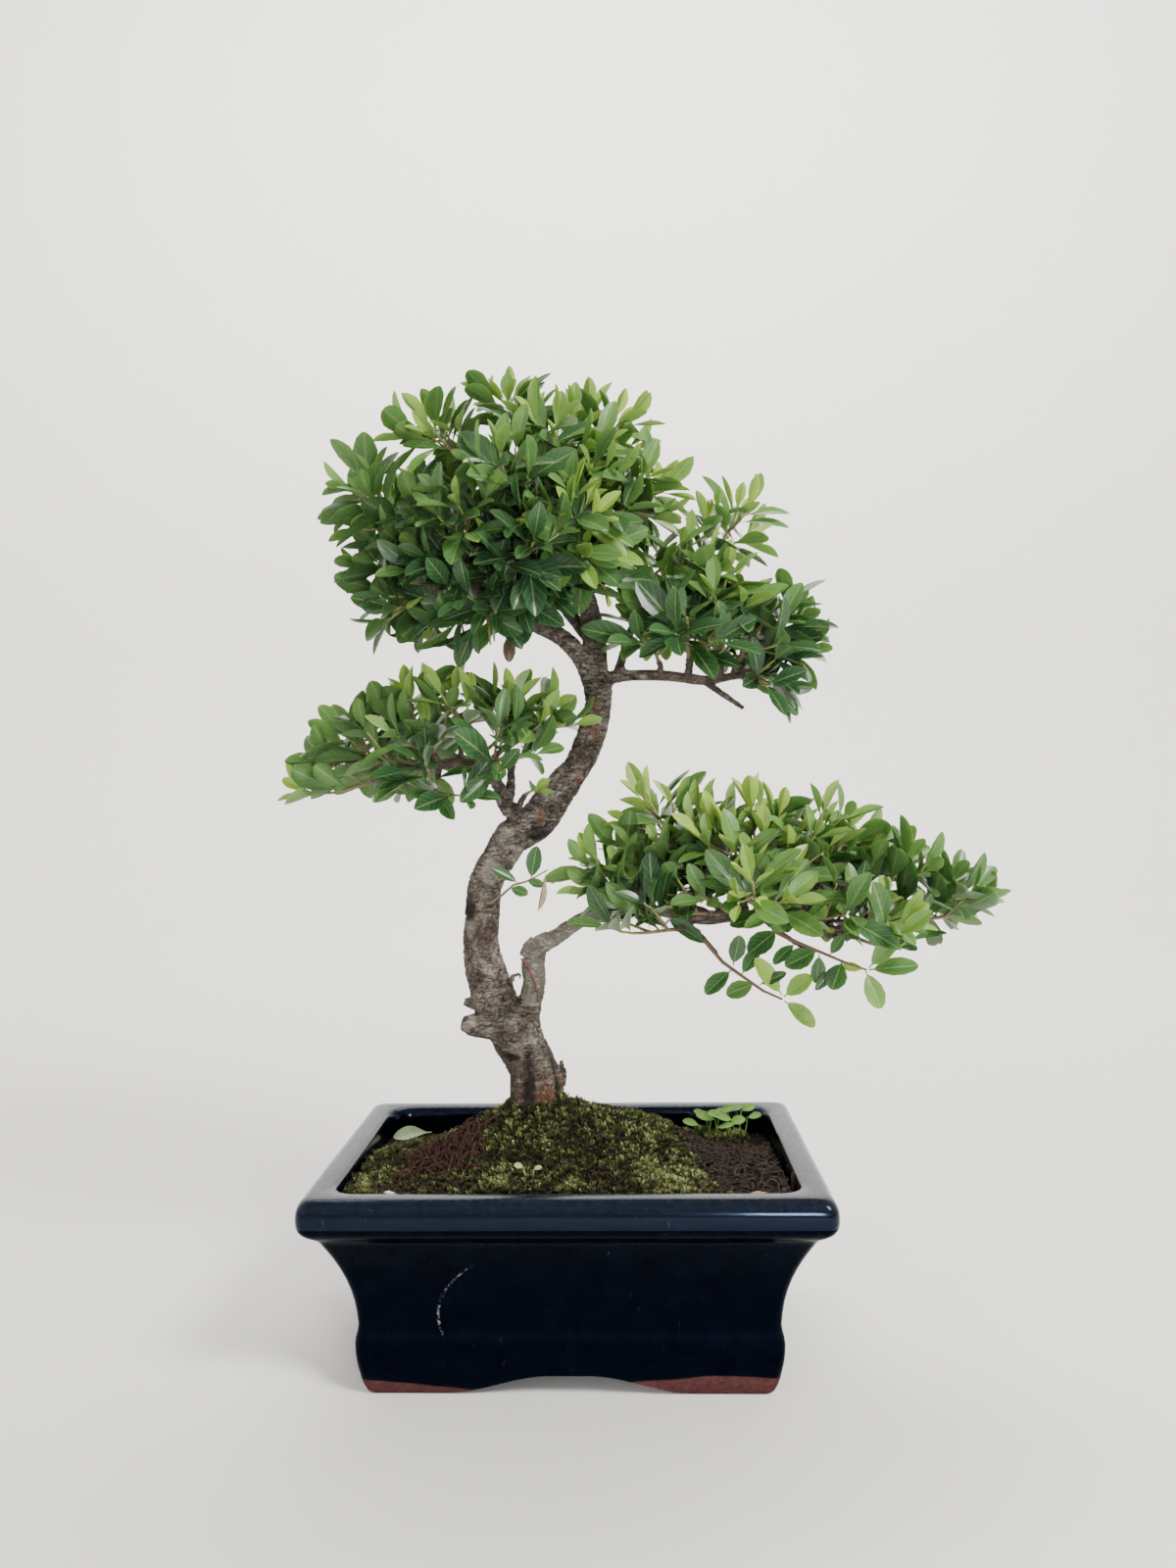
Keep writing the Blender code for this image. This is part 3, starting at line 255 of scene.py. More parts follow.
def write_value(mesh: bpy.types.Mesh, name: str, values: Sequence[float]) -> None:
    """Give a mesh's points a number attribute."""
    mesh.attributes.new(name, "FLOAT", "POINT").data.foreach_set("value", np.asarray(values, dtype=np.float32))


def smooth_step(low: float, high: float, value: float) -> float:
    """Return 0 below low, 1 above high and a smooth rise between them."""
    share = min(1.0, max(0.0, (value - low) / (high - low)))
    return share * share * (3.0 - 2.0 * share)


# Shapes that are copied many times


@dataclass
class Shape:
    """A modelled shape as arrays, ready to be copied."""

    points: np.ndarray
    corners: np.ndarray
    sizes: np.ndarray
    maps: np.ndarray
    values: dict[str, np.ndarray] = field(default_factory=dict)

    @classmethod
    def from_piece(cls, piece: bpy.types.Object) -> Shape:
        """Read a modelled piece into arrays and remove the piece."""
        mesh = piece.data
        points = np.empty(len(mesh.vertices) * 3)
        mesh.vertices.foreach_get("co", points)
        corners = np.empty(len(mesh.loops), dtype=np.int32)
        mesh.loops.foreach_get("vertex_index", corners)
        sizes = np.array([len(face.vertices) for face in mesh.polygons], dtype=np.int32)
        maps = np.zeros((len(mesh.loops), 2))
        if mesh.uv_layers:
            flat = np.empty(len(mesh.loops) * 2)
            mesh.uv_layers[0].data.foreach_get("uv", flat)
            maps = flat.reshape(-1, 2)
        bpy.data.objects.remove(piece)
        return cls(points.reshape(-1, 3), corners, sizes, maps)


class Pile:
    """Copies of shapes gathered into one mesh, each with its own values."""

    def __init__(self, value_names: Sequence[str]) -> None:
        """Start an empty pile.

        Args:
            value_names: the number attributes that every point gets.
        """
        self.value_names = tuple(value_names)
        self.points: list[np.ndarray] = []
        self.corners: list[np.ndarray] = []
        self.sizes: list[np.ndarray] = []
        self.maps: list[np.ndarray] = []
        self.slots: list[np.ndarray] = []
        self.values: dict[str, list[np.ndarray]] = {name: [] for name in self.value_names}
        self.count = 0

    def add(self, shape: Shape, turn: np.ndarray = UNTURNED, place: Sequence[float] = ORIGIN, slot: int = 0,
            **values: float) -> None:
        """Copy a shape into the pile.

        Args:
            shape: what is copied.
            turn: the 3 by 3 matrix that turns and scales it.
            place: where its origin goes.
            slot: the number of the copy's material.
            values: the copy's attributes, where the shape has none of its own.
        """
        points = shape.points @ turn.T + np.asarray(place, dtype=float)
        self.points.append(points)
        self.corners.append(shape.corners + self.count)
        self.sizes.append(shape.sizes)
        self.maps.append(shape.maps)
        self.slots.append(np.full(len(shape.sizes), slot, dtype=np.int32))
        for name in self.value_names:
            own = shape.values.get(name)
            self.values[name].append(np.full(len(points), values.get(name, 0.0)) if own is None else own)
        self.count += len(points)

    def build(self, name: str, sharp_angle: float = 60.0) -> bpy.types.Object:
        """Make one object of the pile.

        Args:
            name: the object's name.
            sharp_angle: edges that bend by more than this many degrees stay crisp.

        Returns:
            The new object, linked to the scene.
        """
        sizes = np.concatenate(self.sizes)
        corners = np.concatenate(self.corners)
        mesh = bpy.data.meshes.new(name)
        mesh.vertices.add(self.count)
        mesh.vertices.foreach_set("co", np.concatenate(self.points).ravel())
        mesh.loops.add(len(corners))
        mesh.loops.foreach_set("vertex_index", corners)
        mesh.polygons.add(len(sizes))
        mesh.polygons.foreach_set("loop_start", np.concatenate(([0], np.cumsum(sizes)[:-1])).astype(np.int32))
        mesh.polygons.foreach_set("material_index", np.concatenate(self.slots))
        mesh.update(calc_edges=True)
        mesh.validate()
        uv = mesh.uv_layers.new(name="shape")
        uv.data.foreach_set("uv", np.concatenate(self.maps).ravel())
        for value_name in self.value_names:
            write_value(mesh, value_name, np.concatenate(self.values[value_name]))
        mesh.shade_smooth()
        mesh.set_sharp_from_angle(angle=math.radians(sharp_angle))
        return link(name, mesh)


def steady_across(direction: Vector) -> Vector:
    """Return a steady direction square to the one given."""
    guide = UP if abs(direction.z) < 0.9 else Vector((1.0, 0.0, 0.0))
    return direction.cross(guide).normalized()


def square_to(direction: Vector, along: Vector) -> Vector:
    """Return the part of a direction that is square to a unit one."""
    return (direction - along * direction.dot(along)).normalized()


def sweep(middle: Sequence[Vector], radii: Sequence[float], sides: int, **ends: tuple[float, float]) -> Shape:
    """Draw a round section along a path.

    Args:
        middle: the points along the path.
        radii: the radius at each point.
        sides: how many sides the section has.
        ends: attributes that run from one value at the start to another at the end.

    Returns:
        The closed tube.
    """
    rings = []
    across = None
    for index, centre in enumerate(middle):
        along = (middle[min(index + 1, len(middle) - 1)] - middle[max(index - 1, 0)]).normalized()
        across = square_to(across or steady_across(along), along)
        third = along.cross(across)
        for side in range(sides):
            turn = 2 * math.pi * side / sides
            rings.append(centre + (across * math.cos(turn) + third * math.sin(turn)) * radii[index])
    corners: list[int] = []
    for step in range(len(middle) - 1):
        for side in range(sides):
            after = (side + 1) % sides
            low, high = step * sides, (step + 1) * sides
            corners += [low + side, low + after, high + after, high + side]
    last = (len(middle) - 1) * sides
    corners += list(reversed(range(sides))) + list(range(last, last + sides))
    shares = np.repeat(np.linspace(0.0, 1.0, len(middle)), sides)
    values = {name: low + (high - low) * shares for name, (low, high) in ends.items()}
    sizes = np.array([4] * last + [sides, sides], dtype=np.int32)
    points = np.array([tuple(point) for point in rings])
    return Shape(points, np.array(corners, dtype=np.int32), sizes, np.zeros((len(corners), 2)), values)


# Materials


def linear(colour: str) -> tuple[float, float, float, float]:
    """Turn an sRGB hex colour into linear values with full alpha."""
    shares = [int(colour[start : start + 2], 16) / 255 for start in (1, 3, 5)]
    red, green, blue = (s / 12.92 if s <= 0.04045 else ((s + 0.055) / 1.055) ** 2.4 for s in shares)
    return red, green, blue, 1.0


def add_node(
    tree: bpy.types.NodeTree,
    kind: str,
    settings: dict[str, object] | None = None,
    links: dict[str | int, bpy.types.NodeSocket] | None = None,
) -> bpy.types.Node:
    """Add one node with its settings and links.

    Args:
        tree: the material's nodes.
        kind: the node's type, without ShaderNode.
        settings: values by property or input name; stops are a ramp's places and hex colours.
        links: the sockets that feed its inputs, by name or number.

    Returns:
        The new node.
    """
    node = tree.nodes.new("ShaderNode" + kind)
    for name, value in (settings or {}).items():
        if name == "stops":
            ramp = node.color_ramp
            while len(ramp.elements) < len(value):
                ramp.elements.new(0.5)
            for element, (place, colour) in zip(ramp.elements, value):
                element.position = place
                element.color = linear(colour)
        elif isinstance(name, int) or name in node.inputs:
            node.inputs[name].default_value = value
        else:
            setattr(node, name, value)
    for name, socket in (links or {}).items():
        tree.links.new(socket, node.inputs[name])
    return node


Socket = bpy.types.NodeSocket
Feed = Socket | float | str | Sequence[float]


class Painter:
    """Adds a material's nodes. What feeds an input is a socket, a number, a place or an sRGB hex colour."""

    def __init__(self, tree: bpy.types.NodeTree) -> None:
        """Take up a new material.

        Args:
            tree: the material's nodes.
        """
        self.tree = tree
        self.shader = tree.nodes["Principled BSDF"]
        self.place = add_node(tree, "VectorMath", {"operation": "SCALE", "Scale": 1.0 / MM},
                              {0: add_node(tree, "TexCoord").outputs["Object"]}).outputs[0]

    def add(self, kind: str, *feeds: Feed, **settings: object) -> bpy.types.Node:
        """Add a node and feed its inputs in their order.

        Args:
            kind: the node's type, without ShaderNode.
            feeds: what its first inputs get.
            settings: its properties.

        Returns:
            The new node.
        """
        links = {index: feed for index, feed in enumerate(feeds) if isinstance(feed, Socket)}
        values = {index: linear(feed) if isinstance(feed, str) else feed
                  for index, feed in enumerate(feeds) if index not in links}
        return add_node(self.tree, kind, {**settings, **values}, links)

    def math(self, operation: str, *feeds: Feed) -> Socket:
        """Return the result of one operation on numbers."""
        return self.add("Math", *feeds, operation=operation).outputs[0]

    def remap(self, value: Feed, low: float, high: float, start: float = 0.0, end: float = 1.0) -> Socket:
        """Return a value moved from the range low to high into the range start to end, and held inside it."""
        return self.add("MapRange", value, low, high, start, end).outputs[0]

    def mix(self, share: Feed, first: Feed, second: Feed) -> Socket:
        """Return the mix of two colours."""
        return self.add("MixRGB", share, first, second).outputs[0]

    def ramp(self, share: Socket, *stops: tuple[float, str]) -> Socket:
        """Return the colour at a share of a ramp, whose stops are places with hex colours."""
        return self.add("ValToRGB", share, stops=stops).outputs[0]

    def parts(self, vector: Socket) -> bpy.types.NodeOutputs:
        """Return the X, Y and Z of a vector."""
        return self.add("SeparateXYZ", vector).outputs

    def value(self, name: str) -> Socket:
        """Return the number attribute of a name."""
        return self.add("Attribute", attribute_name=name).outputs["Fac"]

    def stretched(self, scale: Triple, shift: float = 0.0) -> Socket:
        """Return the place, shifted by a number of millimetres each way and stretched."""
        return self.add("Mapping", self.place, (shift, shift, shift), (0.0, 0.0, 0.0), scale).outputs[0]

    def grain(self, size: float, detail: float = 4.0, rough: float = 0.55, place: Socket | None = None) -> Socket:
        """Return noise whose bumps are about a size in millimetres."""
        return add_node(self.tree, "TexNoise", {"Scale": 1.0 / size, "Detail": detail, "Roughness": rough},
                        {"Vector": self.place if place is None else place}).outputs["Fac"]

    def wire(
        self,
        colour: Socket,
        roughness: Socket | float,
        specular: float = 0.5,
        bump: tuple[Socket, float, float] | None = None,
    ) -> None:
        """Feed the material's shader.

        Args:
            colour: the base colour.
            roughness: how rough the surface is.
            specular: how strongly it mirrors.
            bump: a height, with the bump's strength and its depth in metres.
        """
        self.tree.links.new(colour, self.shader.inputs["Base Color"])
        self.shader.inputs["Specular IOR Level"].default_value = specular
        if isinstance(roughness, Socket):
            self.tree.links.new(roughness, self.shader.inputs["Roughness"])
        else:
            self.shader.inputs["Roughness"].default_value = roughness
        if bump:
            height, strength, depth = bump
            raised = add_node(self.tree, "Bump", {"Strength": strength, "Distance": depth}, {"Height": height})
            self.tree.links.new(raised.outputs[0], self.shader.inputs["Normal"])


@dataclass(frozen=True)
class Finish:
    """A surface finish. Its paint method adds the nodes."""

    name: str

    def material(self) -> bpy.types.Material:
        """Return the finish's material, made at its first use."""
        found = bpy.data.materials.get(self.name)
        if found is not None:
            return found
        made = bpy.data.materials.new(self.name)
        made.use_nodes = True
        self.paint(Painter(made.node_tree))
        return made

    def paint(self, painter: Painter) -> None:
        """Add the finish's nodes."""
        raise NotImplementedError


@dataclass(frozen=True)
class GlazedStoneware(Finish):
    """Stoneware dipped in a cobalt-black gloss glaze, with bare clay feet.

    On upward faces such as the lip's top it turns blue-grey: partly wear, partly a painted reflection of the light
    above.
    It holds fine dust and lime streaks, and stops in a wavy line above the feet, where the fired clay shows matt and
    pinkish brown. It has also rubbed off a patch.
    """

    specular: float
    glaze: str = "#010208"
    thick_glaze: str = "#030813"
    # blue-grey of upward faces: partly wear and dust, partly a painted reflection of the light from above
    lip: str = "#242a33"
    dust: str = "#7d7f84"
    clay: str = "#563635"
    dark_clay: str = "#3b2322"
    mirror_tint: str = "#a3bdee"
    line_height: float = 5.2
    line_wave: float = 3.0
    wave_reach: float = 28.0
    clay_roughness: float = 0.85
    worn_patch: Triple = (91.0, -34.0, 77.5)

    def paint(self, painter: Painter) -> None:
        """Add the glaze, its dust and streaks, and the bare clay."""
        painter.place = painter.add("VectorMath", painter.place, (PLACING.shift_x / MM, 0.0, 0.0),
                                    operation="SUBTRACT").outputs[0]
        place = painter.parts(painter.place)
        facing = painter.parts(painter.add("NewGeometry").outputs["Normal"])
        swing = painter.math("SINE", painter.math("MULTIPLY_ADD", place["X"], 1.0 / self.wave_reach, -0.8))
        wave = painter.math("MULTIPLY_ADD", swing, self.line_wave, self.line_height - 2.0)
        line = painter.math("MULTIPLY_ADD", painter.grain(24.0, 1.0), 4.0, wave)
        unglazed = painter.remap(painter.math("SUBTRACT", place["Z"], line), -0.35, 0.35, 1.0, 0.0)
        to_patch = painter.add("VectorMath", painter.place, self.worn_patch, operation="DISTANCE").outputs["Value"]
        ragged = painter.math("MULTIPLY_ADD", painter.grain(4.0), 5.0, to_patch)
        bare = painter.math("MAXIMUM", unglazed, painter.remap(ragged, 7.2, 8.2, 0.9, 0.0))
        body = painter.ramp(painter.grain(9.0), (0.3, self.glaze), (0.75, self.thick_glaze))
        # Upward faces turn blue-grey: partly wear and dust, partly a painted reflection of the light from above.
        wear_and_sheen = painter.math("MULTIPLY", painter.remap(facing["Z"], 0.15, 0.95), painter.grain(3.0, 6.0, 0.7))
        streaks = painter.grain(1.0, 8.0, 0.75, painter.stretched((0.35, 0.35, 0.03)))
        dusty = painter.math("MULTIPLY", painter.remap(streaks, 0.62, 0.8),
                             painter.remap(painter.grain(0.7, 2.0, 0.5), 0.5, 0.75))
        dried = painter.math("MAXIMUM", dusty, self.lime_run(painter, place))
        glazed = painter.mix(dried, painter.mix(wear_and_sheen, body, self.lip), self.dust)
        fired = painter.ramp(painter.grain(2.5, 6.0, 0.7), (0.3, self.dark_clay), (0.7, self.clay))
        gloss = painter.remap(wear_and_sheen, 0.0, 1.0, 0.1, 0.42)
        rough = add_node(painter.tree, "Mix", {3: self.clay_roughness}, {0: bare, 2: gloss}).outputs[0]
        painter.wire(painter.mix(bare, glazed, fired), rough, self.specular, (painter.grain(14.0, 3.0), 0.12, 0.0004))
        painter.shader.inputs["Specular Tint"].default_value = linear(self.mirror_tint)

    @staticmethod
    def lime_run(painter: Painter, place: bpy.types.NodeOutputs) -> Socket:
        """Return where a drop of hard water ran down the front and dried in a broken pale line."""
        low = painter.math("SUBTRACT", place["Z"], 33.0)
        course = painter.math("MULTIPLY_ADD", painter.math("MULTIPLY", low, low), 0.03, -51.7)
        off = painter.math("ABSOLUTE", painter.math("SUBTRACT", place["X"], course))
        strength = painter.remap(off, 0.2, 0.8, 0.8, 0.0)
        above, below = painter.remap(place["Z"], 22.0, 26.0), painter.remap(place["Z"], 50.0, 56.0, 1.0, 0.0)
        front = painter.remap(place["Y"], -45.0, -40.0, 1.0, 0.0)
        broken = painter.remap(painter.grain(1.6, 6.0, 0.7), 0.48, 0.6)
        for limit in (above, below, front, broken):
            strength = painter.math("MULTIPLY", strength, limit)
        return strength


@dataclass(frozen=True)
class LivingBark(Finish):
    """Thin bark of an old holly stem: grey-beige, cracked across, with rust and purple scars, and painted shade in its
    hollows and cracks.
    """

    deep: str = "#534a42"
    base: str = "#786f65"
    pale: str = "#9b9489"
    crease_shade: str = "#241d19"
    foot: str = "#5f4532"
    # dark is partly the colour of dark scars and partly painted shade in pits and under knots.
    tints: tuple[tuple[str, str], ...] = (
        ("pale", "#aca69b"), ("rust", "#6c4130"), ("purple", "#3f2f2c"), ("dark", "#120e0c"), ("moss", "#343c1f"),
        ("twig", "#574a3f"))
    cracks: tuple[tuple[float, Triple, float], ...] = ((4.6, (0.55, 0.55, 1.5), 0.0), (2.2, (0.7, 0.7, 1.6), 9.0))

    def paint(self, painter: Painter) -> None:
        """Add bark tones, painted shade in low relief and along its cracks, and its marks with ragged edges."""
        tone = painter.ramp(painter.grain(8.0, 9.0, 0.62), (0.3, self.deep), (0.5, self.base), (0.68, self.pale))
        ragged = painter.remap(painter.grain(1.5, 6.0, 0.7), 0.38, 0.54, 0.35)
        painted = painter.mix(painter.math("MULTIPLY", painter.value("foot"), ragged), tone, self.foot)
        # Low relief takes the crease colour: painted shade in the bark's hollows.
        painted = painter.mix(painter.remap(painter.value("relief"), 0.12, 0.47, 0.95, 0.0), painted, self.crease_shade)
        lines = []
        for size, stretch, shift in self.cracks:
            level = painter.math("SUBTRACT", painter.grain(size, 5.0, 0.6, painter.stretched(stretch, shift)), 0.5)
            line = painter.remap(painter.math("ABSOLUTE", level), 0.004, 0.034, 1.0, 0.0)
            lines.append(painter.math("MULTIPLY", line, ragged))
        crack = painter.math("MAXIMUM", *lines)
        # Crack lines take the crease colour too: painted shade along the cracks.
        painted = painter.mix(painter.math("MULTIPLY", crack, 0.85), painted, self.crease_shade)
        nearly_whole = painter.remap(ragged, 0.0, 0.6, 0.7)
        # The dark tint is partly dark scars and partly painted shade in pits and under knots.
        for name, colour in self.tints:
            mask = nearly_whole if name == "dark" else ragged
            painted = painter.mix(painter.math("MULTIPLY", painter.value(name), mask), painted, colour)
        flaky = painter.math("SUBTRACT", painter.grain(0.8, 6.0, 0.75), crack)
        painter.wire(painted, 0.8, 0.25, (flaky, 0.9, 0.0008))


@dataclass(frozen=True)
class HollyLeaf(Finish):
    """Small leathery holly leaf: waxy and deep green when old, soft yellow-green when young, pale below; darker still
    where painted shade falls low in and inside its pad.
    """

    stops: tuple[tuple[float, str], ...] = (
        (0.0, "#a8c14e"), (0.2, "#86a741"), (0.42, "#567c3b"), (0.68, "#32532e"), (1.0, "#1e3925"))
    veins: str = "#9db46a"
    below: str = "#66844a"
    withered: str = "#4a3430"
    roughness: tuple[float, float] = (0.26, 0.62)
    subsurface: tuple[tuple[str, float | Triple], ...] = (
        ("Weight", 0.12), ("Radius", (0.0006, 0.0012, 0.0002)), ("Scale", 1.0))

    def paint(self, painter: Painter) -> None:
        """Add the leaf's colours, set by how old it is and by painted shade, its midrib, faint veins and pale
        underside.
        """
        blade = painter.parts(painter.add("UVMap", uv_map="shape").outputs[0])
        cloud = painter.remap(painter.grain(7.0, 2.0), 0.0, 1.0, -0.1, 0.1)
        face = painter.ramp(painter.math("ADD", painter.value("age"), cloud), *self.stops)
        side = painter.math("ABSOLUTE", painter.math("SUBTRACT", blade["X"], 0.5))
        rib = painter.remap(side, 0.015, 0.05, 0.34, 0.0)
        slant = painter.math("SUBTRACT", blade["Y"], painter.math("MULTIPLY", side, 0.5))
        vein = painter.remap(painter.math("SINE", painter.math("MULTIPLY", slant, 50.0)), 0.75, 1.0, 0.0, 0.1)
        lines = painter.math("MAXIMUM", rib, vein)
        under = painter.value("under")
        paled = painter.mix(painter.math("MULTIPLY", under, 0.5), painter.mix(lines, face, self.veins), self.below)
        whole = painter.mix(painter.value("dead"), paled, self.withered)
        painter.wire(whole, painter.remap(under, 0.0, 1.0, *self.roughness), 0.34, (lines, 0.25, 0.0003))
        for name, value in self.subsurface:
            painter.shader.inputs["Subsurface " + name].default_value = value


@dataclass(frozen=True)
class GreenStem(Finish):
    """Skin of this year's shoot: green at the tip, turning to grey-brown wood at its foot."""

    def paint(self, painter: Painter) -> None:
        """Add the change from wood to green."""
        shade = painter.math("ADD", painter.value("age"), painter.remap(painter.grain(1.5), 0.0, 1.0, -0.15, 0.15))
        painter.wire(painter.ramp(shade, (0.0, "#8d9a4b"), (0.3, "#7b7648"), (0.7, "#66523f")), 0.65)


@dataclass(frozen=True)
class CushionMoss(Finish):
    """Living moss: darkened towards its foot with painted shade among the shoots, with bright or dry brown tips."""

    def paint(self, painter: Painter) -> None:
        """Add the moss tones."""
        # The bright value mixes fresh green moss with painted light on the cushion tops.
        fresh_and_lit = painter.ramp(painter.value("bright"), (0.0, "#2b301f"), (0.35, "#55603a"), (0.7, "#929f5a"),
                             (1.0, "#ccd48e"))
        dry = painter.ramp(painter.grain(1.3, 4.0, 0.7), (0.3, "#231a16"), (0.55, "#493a2f"), (0.75, "#8f7e66"))
        mixed = painter.mix(painter.value("dry"), fresh_and_lit, dry)
        height = painter.value("tip")
        # Towards each shoot's foot the colour runs to near black: painted shade among the dense shoots.
        shaded = painter.mix(painter.math("POWER", height, 1.6), "#0d0c08", mixed)
        tipped = painter.mix(painter.remap(height, 0.8, 1.0, 0.0, 0.5), shaded, "#d0cba0")
        painter.wire(tipped, 0.85, 0.1)


@dataclass(frozen=True)
class BonsaiSoil(Finish):
    """Damp peaty substrate: near black with brown bark and pale grit."""

    def paint(self, painter: Painter) -> None:
        """Add the soil tones and crumbs."""
        crumbs = add_node(painter.tree, "TexVoronoi", {"Scale": 0.75}, {"Vector": painter.place}).outputs["Distance"]
        tone = painter.ramp(painter.grain(2.2, 8.0, 0.7), (0.2, "#090706"), (0.55, "#19130f"), (0.8, "#352a23"))
        painter.wire(painter.mix(painter.value("tone"), tone, "#6a5b4d"), 0.92, 0.1, (crumbs, 0.9, 0.0012))


@dataclass(frozen=True)
class PlainMottle(Finish):
    """A matt natural surface in two close tones, such as stone, dead leaf or moulded mesh."""

    dark: str
    light: str
    size: float = 1.2
    roughness: float = 0.8
    specular: float = 0.3

    def paint(self, painter: Painter) -> None:
        """Add the two tones and a light bump."""
        pattern = painter.grain(self.size, 6.0, 0.65)
        painter.wire(painter.ramp(pattern, (0.3, self.dark), (0.7, self.light)), self.roughness, self.specular,
                     (pattern, 0.3, 0.0003))


GLAZE = GlazedStoneware("cobalt_black_glazed_stoneware", 0.025)
LIP_GLAZE = GlazedStoneware("thin_glaze_on_the_lip", 0.32)
BARK = LivingBark("holly_bark")
LEAF = HollyLeaf("holly_leaf")
STEM = GreenStem("holly_shoot_skin")
MOSS = CushionMoss("cushion_moss")
SOIL = BonsaiSoil("damp_peat_soil")
DRY_ROOT = PlainMottle("dry_root_fibre", "#0b0908", "#4a3f37", 1.1, 0.8, 0.15)
RED_FIBRE = PlainMottle("dry_red_fibre", "#1b1210", "#523a32", 0.8, 0.9, 0.1)
DRIED = PlainMottle("dried_leaf_skin", "#7b6650", "#b39f83", 1.6, 0.75)
CAUGHT = PlainMottle("dry_twig_bark", "#4c2a22", "#7d4c3d", 1.0, 0.8)
SEEDLING = PlainMottle("tender_seedling_leaf", "#3f6c20", "#729b3c", 3.5, 0.5)
SPROUT = PlainMottle("blanched_sprout", "#8a8c55", "#aeae7c", 1.5, 0.6)
FALLEN = PlainMottle("wilted_leaf_skin", "#7f966b", "#a9bb8e", 3.0, 0.5)
PALE_STONE = PlainMottle("pale_stone", "#8f8c84", "#d0cdc4", 1.1, 0.7)
ORANGE_STONE = PlainMottle("orange_stone", "#7a3d1c", "#b0692f", 1.4, 0.8)
SCREEN = PlainMottle("black_moulded_mesh", "#0d0d0e", "#18181a", 1.0, 0.5)


# The pot


